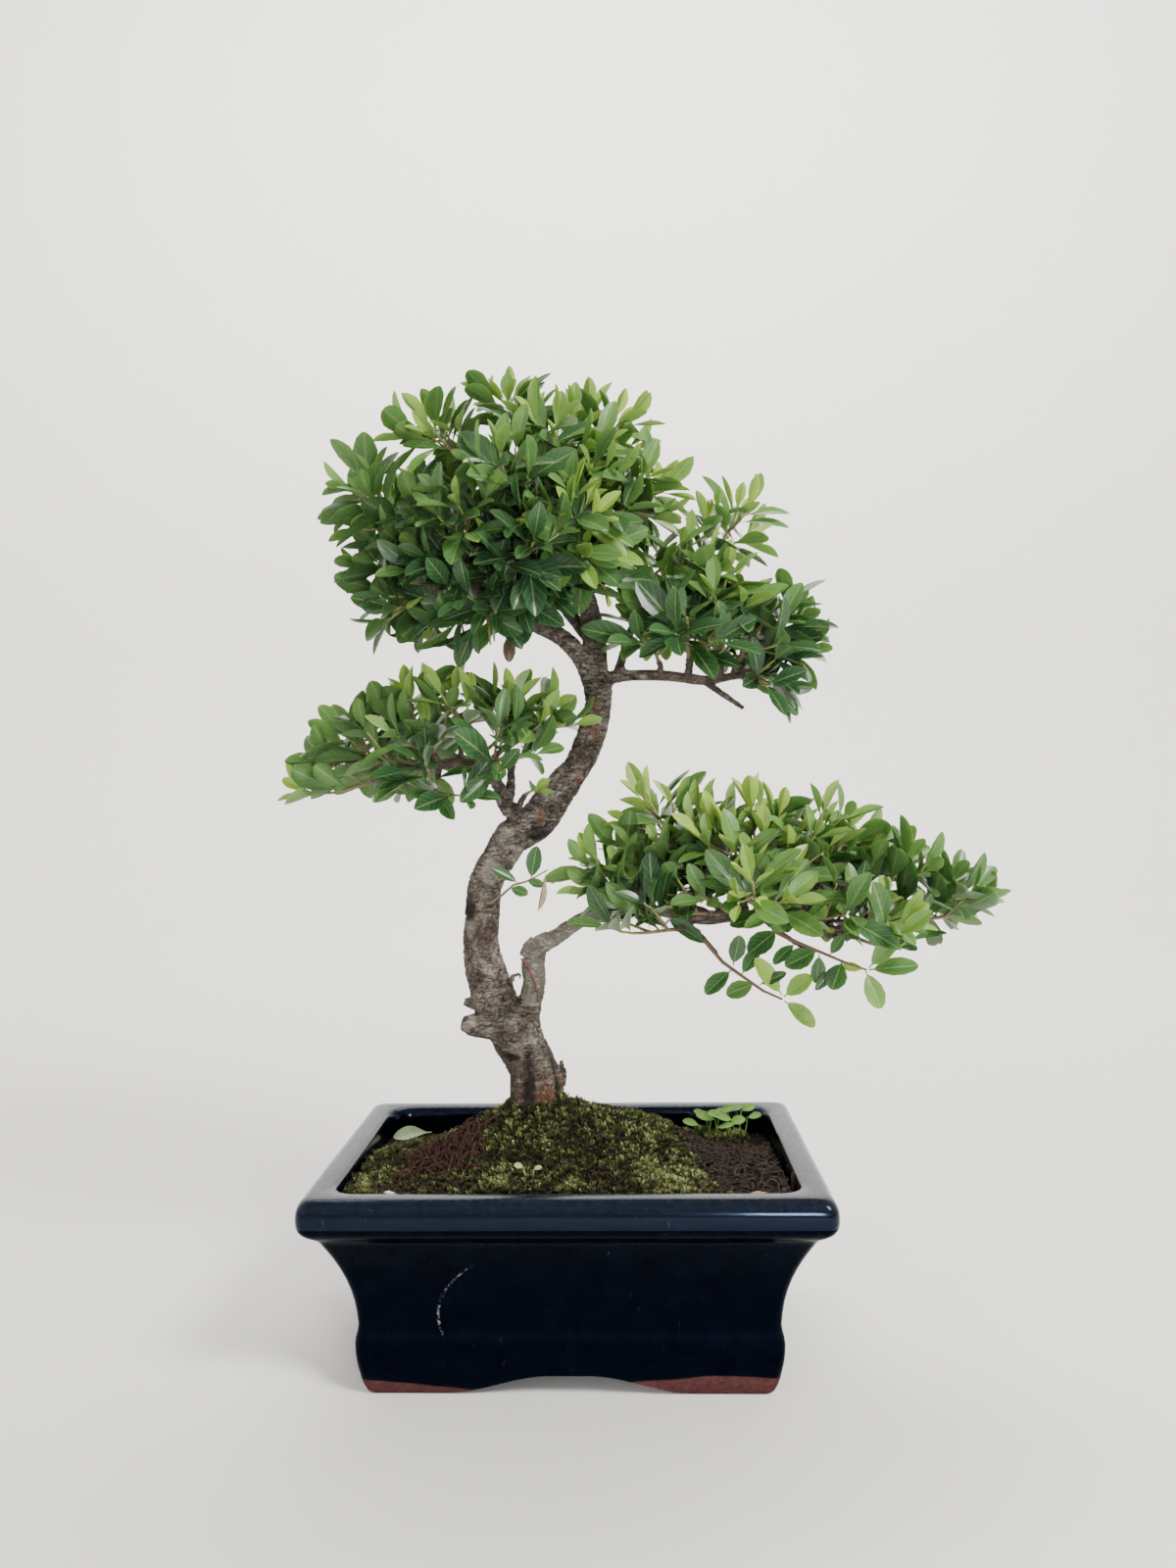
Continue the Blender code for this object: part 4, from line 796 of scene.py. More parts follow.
@dataclass
class GlazedPot:
    """The rectangular pot: rolled rim, flared wall, plinth band, four feet and two drain holes."""

    length: float = 209.6
    depth: float = 149.6
    corner_radius: float = 3.7
    corner_steps: int = 8
    side_cuts: int = 36
    waist_inset: float = 20.0
    waist_height: float = 28.0
    flare_top: float = 76.0
    lip_glaze_from: float = 72.5
    mouth_from: float = 80.0
    first_inset: float = 24.0
    flare_power: float = 1.85
    mouth_starts: float = 5.0
    mouth_corner: float = 11.0
    wall: float = 7.0
    floor_top: float = 18.5
    recess_height: float = 12.0
    recess_inset: float = 37.0
    arch_height: float = 8.5
    front_arch: tuple[float, float] = (51.0, 25.0)
    side_arch: tuple[float, float] = (30.0, 13.0)
    drain_radius: float = 9.0
    drain_x: float = 38.0
    tool_height: float = 30.0

    def flare(self, height: float) -> float:
        """Return how far the wall is drawn in at a height."""
        share = max(0.0, (height - self.waist_height) / (self.flare_top - self.waist_height))
        return self.waist_inset * (1.0 - share**self.flare_power)

    def profile(self) -> list[tuple[float, float]]:
        """Return the whole section as (inset, height), from a foot over the rim and down to the floor."""
        foot = [(23.0, 1.0), (21.9, 3.6), (20.9, 6.8), (20.2, 10.0), (19.5, 13.5), (19.1, 17.0), (19.0, 20.5),
                (19.3, 23.2), (19.9, 25.4), (20.2, 28.0)]
        flank = [(self.flare(height), height) for height in (33.0, 38.0, 43.0, 48.0, 53.0, 57.5, 61.5, 64.5, 66.6)]
        lip = [(5.1, 67.6), (3.3, 68.8), (1.8, 70.1), (0.8, 71.6), (0.2, 73.2), (0.0, 75.0), (0.0, 77.2),
               (0.2, 79.0), (0.7, 80.6), (1.5, 82.0), (2.6, 83.1), (3.9, 83.75), (5.2, 84.0), (8.0, 84.0),
               (10.8, 83.85), (12.0, 83.3), (12.8, 82.2), (13.2, 80.6), (13.6, 76.0), (13.8, 71.5)]
        inside = [(self.flare(height) + self.wall, height) for height in (66.0, 60.0, 52.0, 44.0, 36.0, 28.0)]
        inside += [(27.6, 23.5), (29.4, 20.2), (32.0, self.floor_top)]
        return foot + flank + lip + inside

    def model_body(self) -> bpy.types.Object:
        """Draw the section up from a rounded rectangle, ring by ring."""
        bench = Bench("glazed_pot", "plane", size=1.0)
        bench.scale(self.length - 2 * self.first_inset, self.depth - 2 * self.first_inset, 1.0)
        bpy.ops.mesh.bevel(offset=self.corner_radius, segments=self.corner_steps, affect="VERTICES")
        mesh = bmesh.from_edit_mesh(bench.piece.data)
        long_edges = [edge for edge in mesh.edges if edge.calc_length() > 2 * self.corner_radius]
        bmesh.ops.subdivide_edges(mesh, edges=long_edges, cuts=self.side_cuts)
        bmesh.update_edit_mesh(bench.piece.data)
        bench.pick_all()
        inset, height = self.first_inset, 0.0
        for next_inset, next_height in self.profile():
            bench.draw_out(z=next_height - height)
            bench.scale((self.length / 2 - next_inset) / (self.length / 2 - inset),
                        (self.depth / 2 - next_inset) / (self.depth / 2 - inset), 1.0)
            inset, height = next_inset, next_height
            if height > self.mouth_from and inset > self.mouth_starts:
                self.round_corners(bench, inset)
        bench.face_outward()
        return bench.done()

    def round_corners(self, bench: Bench, inset: float) -> None:
        """Round the corners of the ring just drawn, more so towards the pot's mouth."""
        corner = min(self.mouth_corner, self.corner_radius + 1.1 * (inset - self.mouth_starts))
        half_x, half_y = self.length / 2 - inset, self.depth / 2 - inset
        bench.reshape(lambda point: Vector((*drawn_in(point.x, point.y, half_x, half_y, corner), point.z)))

    def model_recess(self) -> bpy.types.Object:
        """Make the tool that hollows the pot between its feet."""
        bench = Bench("recess_tool", "cube", size=1.0,
                      location=(0.0, 0.0, self.recess_height - self.tool_height / 2))
        bench.scale(self.length - 2 * self.recess_inset, self.depth - 2 * self.recess_inset, self.tool_height)
        bpy.ops.mesh.bevel(offset=1.6, segments=3, affect="EDGES")
        return bench.done()

    def model_arch(self, spans: tuple[float, float], turn: float) -> bpy.types.Object:
        """Make the tool that cuts the low arches on two opposite sides.

        Args:
            spans: half the arch's width at the ground and at its top.
            turn: the direction the arch runs in, as an angle.

        Returns:
            The closed tool.
        """
        bench = Bench("arch_tool", "grid", x_subdivisions=32, y_subdivisions=1, size=2.0)
        bench.scale(spans[0] + 1.0, self.length, 1.0)
        bench.draw_out(z=-12.0)
        bench.pick(lambda point: point.z > -1.0)

        def arched(point: Vector) -> Vector:
            """Return where the arch's top lies."""
            rise = 1.0 - smooth_step(spans[1] * 0.35, spans[0], abs(point.x))
            return Vector((point.x, point.y, self.arch_height * rise - 0.02))

        bench.reshape(arched)
        bench.face_outward()
        tool = bench.done()
        tool.data.transform(Matrix.Rotation(turn, 4, "Z"))
        return tool

    def model_drain(self, place: float) -> bpy.types.Object:
        """Make the tool that bores one drain hole."""
        return Bench("drain_tool", "cylinder", vertices=32, radius=self.drain_radius, depth=self.tool_height,
                     location=(place, 0.0, self.recess_height)).done()

    def build(self) -> None:
        """Build the pot and dress it."""
        pot = self.model_body()
        tools = [self.model_recess(), self.model_arch(self.front_arch, 0.0),
                 self.model_arch(self.side_arch, math.pi / 2), self.model_drain(-self.drain_x),
                 self.model_drain(self.drain_x)]
        for tool in tools:
            modify(pot, "BOOLEAN", operation="DIFFERENCE", object=tool, solver="EXACT")
            bpy.data.objects.remove(tool)
        modify(pot, "BEVEL", width=0.7, segments=2, limit_method="ANGLE", angle_limit=math.radians(45))
        for vertex in pot.data.vertices:
            sag = 0.22 * soft_noise(vertex.co, 46.0, 3.1) - 0.22
            outward = Vector((vertex.normal.x, vertex.normal.y, 0.0))
            vertex.co += outward * sag * smooth_step(2.0, 14.0, vertex.co.z)
        pot.data.shade_smooth()
        pot.data.set_sharp_from_angle(angle=math.radians(50))
        for face in pot.data.polygons:
            face.material_index = int(face.center.z > self.lip_glaze_from)
        settle(pot, [GLAZE, LIP_GLAZE], ["pot"])


# Ground


@dataclass
class Ground:
    """The soil's surface inside the pot's mouth."""

    half_x: float = 90.7
    half_y: float = 60.7
    corner: float = 7.0
    soil_at_wall: float = 75.7
    soil_tilt: float = 3.3
    cell: float = 1.5
    underside: float = 66.0
    underside_share: float = 0.985
    bare: Box = (72.0, -19.0, 20.0, 42.0)
    red_nest: Box = (-54.0, -21.0, 15.0, 18.0)
    crumbs: int = 1500
    crumb_sizes: tuple[float, float] = (0.4, 1.7)
    fibre_steps: int = 8
    fibre_step: float = 1.5

    def height(self, x: float, y: float) -> float:
        """Return the height of the smooth soil surface, as the CAD soil has it."""
        mound = 24.5 * hill(x + 14.0, y, 40.0, 36.0)
        shoulder = 11.0 * hill(x - 34.0, y - 2.0, 26.0, 28.0)
        return self.soil_at_wall - self.soil_tilt * y / 60.0 + mound + shoulder

    def inside(self, x: float, y: float, margin: float = 0.0) -> bool:
        """Tell whether a place lies within the pot's inner wall."""
        over_x = abs(x) - (self.half_x - self.corner)
        over_y = abs(y) - (self.half_y - self.corner)
        if over_x > 0 and over_y > 0:
            return math.hypot(over_x, over_y) < self.corner - margin
        return over_x < self.corner - margin and over_y < self.corner - margin

    def rough_height(self, x: float, y: float) -> float:
        """Return the height of the crumbly soil surface."""
        lumps = 0.9 * soft_noise((x, y, 0.0), 9.0, 1.0) + 0.7 * soft_noise((x, y, 0.0), 3.2, 2.0)
        return self.height(x, y) + lumps - 0.7

    def build(self) -> None:
        """Build the soil as one closed block with a crumbly top."""
        bench = Bench("soil_surface", "grid", x_subdivisions=int(2 * self.half_x / self.cell),
                      y_subdivisions=int(2 * self.half_y / self.cell), size=2.0)
        bench.scale(self.half_x, self.half_y, 1.0)
        bench.draw_out(z=-1.0)

        def laid(point: Vector) -> Vector:
            """Return where a point of the top or of the underside lies."""
            x, y = drawn_in(point.x, point.y, self.half_x, self.half_y, self.corner)
            if point.z > -0.5:
                return Vector((x, y, self.rough_height(x, y)))
            low = Vector((x, y, self.underside))
            low.xy *= self.underside_share
            return low

        bench.pick_all()
        bench.reshape(laid)
        bench.face_outward()
        soil = bench.done()
        soil.data.attributes.new("tone", "FLOAT", "POINT")
        soil.data.shade_smooth()
        settle(soil, [SOIL], ["soil"])

    def scatter_crumbs(self) -> None:
        """Strew crumbs of peat and bark where the soil lies bare."""
        draw = random.Random("crumbs")
        crumb = model_crumb()
        pile = Pile(("tone",))
        centre_x, centre_y, reach_x, reach_y = self.bare
        while len(pile.sizes) < self.crumbs:
            if len(pile.sizes) % 5 == 0:
                x, y = draw.uniform(-self.half_x, self.half_x), draw.uniform(-self.half_y, self.half_y)
            else:
                x = centre_x + draw.uniform(-1.0, 1.0) * reach_x
                y = centre_y + draw.uniform(-1.0, 1.0) * reach_y
            if not self.inside(x, y, 1.0):
                continue
            size = draw.uniform(*self.crumb_sizes) ** 1.3
            turn = random_turn(draw) @ np.diag([size, size * draw.uniform(0.6, 1.0), size * draw.uniform(0.4, 0.8)])
            pile.add(crumb, turn, (x, y, self.rough_height(x, y) + 0.2 * size), tone=draw.random() ** 2)
        settle(pile.build("soil_crumbs", 30.0), [SOIL])

    def lay_roots(self) -> None:
        """Lay dry root fibres over the bare soil and a nest of red fibres on the left."""
        for name, finish, count, zone, seed, raised in (
            ("dry_roots", DRY_ROOT, 720, self.bare, "roots", 0.0),
            ("red_fibres", RED_FIBRE, 230, self.red_nest, "fibres", MOSS_THICKNESS),
        ):
            draw = random.Random(seed)
            pile = Pile(("tone",))
            for _ in range(count):
                x = zone[0] + draw.uniform(-1.0, 1.0) * zone[2]
                y = zone[1] + draw.uniform(-1.0, 1.0) * zone[3]
                heading = draw.uniform(0.0, 2 * math.pi)
                lift = draw.uniform(0.2, 3.2) + raised
                middle = []
                for step in range(self.fibre_steps):
                    if not self.inside(x, y, 1.0):
                        break
                    arch = math.sin(math.pi * step / (self.fibre_steps - 1))
                    middle.append(Vector((x, y, self.rough_height(x, y) + lift * arch + 0.3 + lift * 0.4)))
                    heading += draw.uniform(-0.6, 0.6)
                    x += self.fibre_step * math.cos(heading)
                    y += self.fibre_step * math.sin(heading)
                if len(middle) > 3:
                    radius = draw.uniform(0.18, 0.6)
                    radii = [radius * (1.0 - 0.6 * step / len(middle)) for step in range(len(middle))]
                    pile.add(sweep(middle, radii, 4))
            settle(pile.build(name), [finish])


def model_crumb() -> Shape:
    """Model one angular crumb of soil."""
    bench = Bench("crumb", "ico_sphere", subdivisions=1, radius=1.0)
    bench.pick(lambda point: point.z > 0.6)
    bench.move(x=0.25, z=-0.2)
    bench.pick(lambda point: point.x < -0.6)
    bench.move(x=0.3, y=0.15)
    return Shape.from_piece(bench.done())


def random_turn(draw: random.Random) -> np.ndarray:
    """Return a random rotation."""
    axis = Vector((draw.gauss(0, 1), draw.gauss(0, 1), draw.gauss(0, 1))).normalized()
    return np.array(Matrix.Rotation(draw.uniform(0, 2 * math.pi), 3, axis))


MOSS_THICKNESS = 2.2


@dataclass(frozen=True)
class Patch:
    """An oval zone of the ground, with how strongly it colours the moss."""

    x: float
    y: float
    reach_x: float
    reach_y: float
    strength: float = 1.0

    def share(self, x: float, y: float) -> float:
        """Return how strongly the zone tells at a place, with a ragged edge."""
        far = math.hypot((x - self.x) / self.reach_x, (y - self.y) / self.reach_y)
        far += 0.35 * soft_noise((x, y, 0.0), 7.0, 5.0)
        return self.strength * (1.0 - smooth_step(0.7, 1.15, far))


@dataclass
class MossBed:
    """The moss mats: a low cushion each, covered with thousands of tiny star-shaped shoots."""

    ground: Ground
    left_mat_to: float = -72.0
    spacing: float = 1.3
    tuft_sizes: tuple[float, float] = (0.8, 1.75)
    slope_step: float = 0.8
    bright: tuple[Patch, ...] = (
        Patch(-26.0, -49.0, 10.0, 8.0, 0.95), Patch(43.0, -42.0, 20.0, 17.0, 0.95), Patch(26.0, -10.0, 20.0, 16.0, 0.5),
        Patch(-16.0, -22.0, 22.0, 14.0, 0.45), Patch(-80.0, -40.0, 9.0, 16.0, 0.5), Patch(63.0, 44.0, 18.0, 13.0, 0.6),
        Patch(2.0, -52.0, 8.0, 6.0, 0.6),
    )
    dry: tuple[Patch, ...] = (
        Patch(-54.0, -22.0, 18.0, 20.0, 1.0), Patch(-58.0, -50.0, 20.0, 7.0, 0.8), Patch(16.0, -50.0, 12.0, 7.0, 0.65),
        Patch(6.0, -22.0, 14.0, 12.0, 0.5), Patch(50.0, 4.0, 10.0, 16.0, 0.5), Patch(-34.0, 16.0, 12.0, 12.0, 0.5),
        Patch(58.0, -54.0, 8.0, 5.0, 0.7),
    )
    hollows: tuple[Patch, ...] = (Patch(-57.0, -34.0, 7.0, 5.0, 3.5), Patch(-40.0, -12.0, 9.0, 4.0, 1.6))

    def covers(self, x: float, y: float) -> bool:
        """Tell whether the main mat covers a place."""
        wave = 3.0 * soft_noise((x, y, 0.0), 11.0, 4.0)
        if not self.ground.inside(x, y, 1.2) or math.hypot(x - TRUNK_X, y - TRUNK_Y) < 9.0:
            return False
        if y > 36.0 + wave - 0.12 * abs(x):
            return False
        if x > 47.0 + wave - 0.28 * min(y, 10.0) and y > -64.0:
            return x < 66.0 + wave and y < -50.0
        return x > -84.0 - wave or y < 10.0 + wave

    @staticmethod
    def clump(x: float, y: float) -> float:
        """Return how high a place lies on its cushion of moss, from 0 in a gap to 1 on top."""
        return max(0.0, 1.0 - 1.35 * noise.voronoi(Vector((x, y, 0.0)) / 6.5)[0][0]) ** 0.6

    def thickness(self, x: float, y: float) -> float:
        """Return the moss cushion's thickness at a place."""
        lumps = 1.2 * soft_noise((x, y, 0.0), 9.0, 6.0) + 2.2 * (self.clump(x, y) - 0.6)
        hollow = sum(patch.share(x, y) for patch in self.hollows)
        foot = 2.0 * hill(x - TRUNK_X, y - TRUNK_Y, 20.0, 18.0)
        return max(0.4, MOSS_THICKNESS + lumps + foot - hollow)

    def height(self, x: float, y: float) -> float:
        """Return the height of the moss cushion's skin."""
        return self.ground.height(x, y) + self.thickness(x, y)

    def model_tuft(self) -> Shape:
        """Model one moss shoot: two upright stars of narrow leaves, one above the other."""
        low_leaves, high_leaves, twist = 10, 6, 0.3
        bench = Bench("moss_tuft", "circle", vertices=low_leaves, radius=0.85, fill_type="TRIFAN")
        bpy.ops.mesh.primitive_circle_add(vertices=high_leaves, radius=0.4, fill_type="TRIFAN",
                                          location=(0, 0, 0.5), rotation=(0, 0, twist))

        def starred(point: Vector) -> Vector:
            """Return a point sunk in the star's middle or between two leaves, or raised at a leaf's tip."""
            upper = point.z > 0.2
            if math.hypot(point.x, point.y) < 0.1:
                return point - 0.5 * UP
            turn = math.atan2(point.y, point.x) - (twist if upper else 0.0)
            if round(turn / (2 * math.pi) * (high_leaves if upper else low_leaves)) % 2:
                return Vector((point.x * 0.3, point.y * 0.3, point.z - 0.25))
            return Vector((point.x, point.y, point.z + 0.85))

        bench.pick_all()
        bench.reshape(starred)
        shape = Shape.from_piece(bench.done())
        shape.values["tip"] = np.clip((shape.points[:, 2] + 0.5) / 1.85, 0.0, 1.0)
        return shape

    def cushion(self, name: str, inside: Callable[[float, float], bool], box: Box) -> bpy.types.Object:
        """Model the low cushion under a mat's shoots.

        Args:
            name: the piece's name.
            inside: tells whether the mat covers a place.
            box: the lowest and highest x, then y, that the mat may reach.

        Returns:
            The closed cushion.
        """
        wide, deep, cell = box[1] - box[0], box[3] - box[2], 1.6
        bench = Bench(name, "grid", x_subdivisions=int(wide / cell), y_subdivisions=int(deep / cell), size=2.0)
        bench.scale(wide / 2, deep / 2, 1.0)
        bench.move((box[0] + box[1]) / 2, (box[2] + box[3]) / 2)
        bench.pick(lambda point: not inside(point.x, point.y))
        bpy.ops.mesh.delete(type="VERT")
        bench.pick_all()
        bench.draw_out(z=-1.0)

        def laid(point: Vector) -> Vector:
            """Return where a point of the underside or of the skin lies."""
            x, y, z = point
            return Vector((x, y, self.ground.height(x, y) - 2.5 if z < -0.5 else self.height(x, y) - 0.5))

        bench.pick_all()
        bench.reshape(laid)
        bench.face_outward()
        return bench.done()

    def colours(self, x: float, y: float, draw: random.Random) -> dict[str, float]:
        """Return a shoot's brightness and dryness at a place; cushion tops get painted light and the gaps painted
        shade.
        """
        bright = max(patch.share(x, y) for patch in self.bright)
        dry = max(patch.share(x, y) for patch in self.dry)
        fleck = 0.5 * soft_noise((x, y, 0.0), 4.0, 8.0)
        # Raised clumps are painted brighter and the gaps between them darker: painted light and shade.
        raised = self.clump(x, y) - 0.55
        browned = 0.75 if draw.random() < 0.16 else 0.0
        return {"bright": min(1.0, max(0.0, 0.2 + 0.55 * bright + 0.6 * fleck + 0.6 * raised
                                       + draw.uniform(-0.45, 0.55))),
                "dry": min(1.0, max(0.0, dry * 0.95 + 0.3 * fleck - 0.5 * raised + draw.uniform(-0.3, 0.25),
                                    browned))}

    def plant(self, pile: Pile, tuft: Shape, inside: Callable[[float, float], bool], box: Box,
              draw: random.Random) -> None:
        """Plant moss shoots over a mat.

        Args:
            pile: the pile that takes the shoots.
            tuft: the modelled shoot.
            inside: tells whether the mat covers a place.
            box: the lowest and highest x, then y.
            draw: the seeded random source.
        """
        for column in range(int((box[1] - box[0]) / self.spacing)):
            for row in range(int((box[3] - box[2]) / self.spacing)):
                x = box[0] + self.spacing * (column + draw.random() * 1.2)
                y = box[2] + self.spacing * (row + draw.random() * 1.2)
                if not inside(x, y):
                    continue
                step = self.slope_step
                slope = Vector((self.height(x - step, y) - self.height(x + step, y),
                                self.height(x, y - step) - self.height(x, y + step), 2 * step)).normalized()
                lean = (slope + Vector((draw.uniform(-0.5, 0.5), draw.uniform(-0.5, 0.5), 0.6))).normalized()
                near_foot = hill(x - TRUNK_X, y - TRUNK_Y, 17.0, 15.0)
                size = draw.uniform(*self.tuft_sizes)
                tall = size * draw.uniform(0.7, 1.25) * (1.0 + 1.5 * near_foot * draw.random())
                across = steady_across(lean)
                spin = draw.uniform(0, 2 * math.pi)
                side = across * math.cos(spin) + lean.cross(across) * math.sin(spin)
                turn = np.array([side * size, lean.cross(side) * size, lean * tall]).T
                pile.add(tuft, turn, (x, y, self.height(x, y) + 0.1), **self.colours(x, y, draw))

    def build(self) -> None:
        """Build the three mats."""
        tuft = self.model_tuft()

        def left(x: float, y: float) -> bool:
            """Tell whether the left mat covers a place."""
            return self.covers(x, y) and x < self.left_mat_to

        def middle(x: float, y: float) -> bool:
            """Tell whether the main mat covers a place."""
            return self.covers(x, y) and x >= self.left_mat_to

        def back(x: float, y: float) -> bool:
            """Tell whether the back mat covers a place."""
            return self.ground.inside(x, y, 1.5) and math.hypot((x - 63.0) / 18.0, (y - 40.0) / 16.0) < 1.0

        mats = (("moss_mound", middle, (-73.0, 68.0, -60.0, 44.0)), ("moss_left", left, (-90.0, -71.0, -60.0, 40.0)),
                ("moss_back", back, (44.0, 82.0, 22.0, 58.0)))
        for node, inside, box in mats:
            cushion = self.cushion(node + "_cushion", inside, box)
            shoots = random.Random(node)
            # The cushion under the shoots gets a low tip value, so it is darkened with painted shade.
            tints = [{**self.colours(vertex.co.x, vertex.co.y, shoots), "tip": 0.3}
                     for vertex in cushion.data.vertices]
            for name in ("bright", "dry", "tip"):
                write_value(cushion.data, name, [tint[name] for tint in tints])
            cushion.data.shade_smooth()
            settle(cushion, [MOSS], [node])
            pile = Pile(("bright", "dry", "tip"))
            self.plant(pile, tuft, inside, box, random.Random(node + "-shoots"))
            settle(pile.build(node + "_shoots", 30.0), [MOSS], [node])


# The tree's wood


ROUTES: dict[str, Route] = {
    "trunk": (
        (-15.9, 4, 80.0, 12.4), (-15.9, 4, 100.1, 12.6), (-17.9, 4, 116.7, 10.6), (-24.7, 3, 130.9, 11.3),
        (-32.8, 2, 143.3, 10.0), (-37.7, 1, 160.9, 9.3), (-39.6, 0, 172.3, 7.9), (-38.7, -1, 184.2, 7.7),
        (-37.0, -2, 200.0, 7.6), (-30.8, -1, 211.8, 7.8), (-24.7, 0, 220.4, 8.2), (-14.3, 1, 227.2, 8.7),
        (-6.4, 2, 238.0, 8.0), (3.8, 3, 250.9, 6.4), (10.0, 3, 264.4, 6.5), (13.3, 2, 279.1, 6.0),
        (13.4, 1, 287.7, 6.6),
    ),
    "leader": (
        (13.3, 1, 282.0, 5.6), (12.1, 2, 295.2, 5.9), (11.8, 4, 309.4, 5.5), (9.3, 6, 322.9, 4.6),
        (5.0, 9, 340.3, 4.0), (-3.7, 10, 358.3, 3.1), (-12.2, 8, 375.7, 2.4),
    ),
    "crown_left": (
        (13.0, 2, 284.0, 4.6), (4.9, 0, 300.3, 4.3), (-1.4, -4, 306.9, 4.1), (-13.8, -10, 312.7, 3.4),
        (-30.1, -16, 322.6, 2.7), (-46.4, -20, 331.5, 2.1),
    ),
    "crown_back": (
        (11.8, 4, 306.0, 3.6), (3.0, 17, 318.0, 3.0), (-8.0, 29, 334.0, 2.4), (-18.0, 36, 352.0, 1.8),
    ),
    "right_up": (
        (13.4, 2, 288.0, 3.4), (18.6, 4, 290.1, 3.1), (30.9, 6, 291.4, 2.6), (45.4, 8, 291.0, 2.5),
        (61.9, 6, 288.8, 2.3), (73.3, 2, 290.0, 1.9),
    ),
    "right_up_drop": ((60.0, 6, 289.0, 1.8), (69.5, 0, 281.2, 1.5), (77.2, -4, 275.2, 1.2)),
    "right_up_sub": (
        (13.4, 3, 284.0, 2.6), (22.1, 8, 293.1, 2.2), (25.3, 12, 303.0, 2.0), (30.0, 12, 316.0, 1.8),
        (38.0, 8, 330.0, 1.5),
    ),
    "left_arm": (
        (-18.0, 0, 224.0, 4.6), (-23.2, -1, 229.5, 4.3), (-28.2, -3, 235.2, 3.7), (-31.2, -6, 243.9, 3.0),
        (-36.7, -10, 249.9, 2.8), (-46.0, -13, 252.4, 2.4), (-58.4, -16, 251.3, 1.9), (-75.0, -18, 248.9, 1.7),
    ),
    "left_arm_up": ((-27.5, -2, 234.0, 2.8), (-26.0, 2, 242.0, 2.3), (-26.0, 8, 252.0, 1.9)),
    "low_arm": (
        (-19.0, 3, 131.0, 6.4), (-20.0, 2, 140.0, 5.8), (-16.5, 2, 154.1, 5.3), (-16.2, 0, 166.1, 5.4),
        (-13.9, -1, 171.4, 4.9), (-6.8, -3, 175.5, 3.8), (0.7, -5, 180.8, 3.5), (9.0, -8, 185.4, 3.1),
        (20.9, -10, 187.2, 2.8), (42.0, -13, 187.7, 2.7), (58.8, -14, 184.7, 3.1), (69.2, -14, 185.5, 2.7),
        (83.1, -14, 184.9, 2.5), (103.1, -14, 180.6, 2.1), (118.2, -13, 175.3, 1.8),
    ),
    "low_back": ((38.0, -12, 187.6, 2.2), (48.0, 2, 192.0, 1.9), (62.0, 16, 195.0, 1.6), (80.0, 26, 197.0, 1.3)),
    "low_drop_a": ((44.0, -13, 187.0, 1.6), (55.1, -17, 178.8, 1.3), (63.1, -20, 170.0, 1.1)),
    "low_drop_b": ((84.0, -14, 184.0, 1.6), (95.6, -19, 175.0, 1.3), (104.7, -21, 171.0, 1.1)),
    "knob_left": (
        (-28.0, 1, 136.0, 6.6), (-37.2, -2, 136.7, 6.0), (-44.3, -4, 137.6, 4.7), (-48.0, -5, 138.7, 3.0),
    ),
    "knob_upper": ((-37.0, -3, 147.0, 3.4), (-43.5, -7, 148.0, 2.9), (-46.5, -8, 148.6, 1.8)),
    "right_stub": ((23.2, 5, 290.6, 2.2), (24.2, 5, 298.0, 2.0), (25.2, 5, 305.6, 1.2)),
    "curl": ((-27.0, -3, 155.0, 1.1), (-24.6, -6, 159.6, 0.9), (-22.2, -6, 160.2, 0.7), (-22.4, -5, 157.6, 0.5)),
    "knob_fork": ((-20.0, -2, 168.0, 3.2), (-17.5, -4.5, 172.5, 2.9), (-16.0, -5.5, 175.5, 1.6)),
    "dead_stub": (
        (-12.0, 6, 103.0, 3.2), (-7.0, 8, 106.5, 2.4), (-4.7, 10, 112.0, 1.8), (-5.2, 10, 118.5, 0.8),
    ),
}


class MarkKind(Enum):
    """What a mark on the bark is."""

    STAIN = "stain"
    PIT = "pit"
    BUMP = "bump"
    KNOT = "knot"
    WHORL = "whorl"


@dataclass(frozen=True)
class Mark:
    """A mark on the front of the bark: its place, its half sizes, its relief and its colour."""

    x: float
    z: float
    reach_x: float
    reach_z: float
    kind: MarkKind
    relief: float = 0.0
    tint: str = ""
    strength: float = 1.0
    back: bool = False


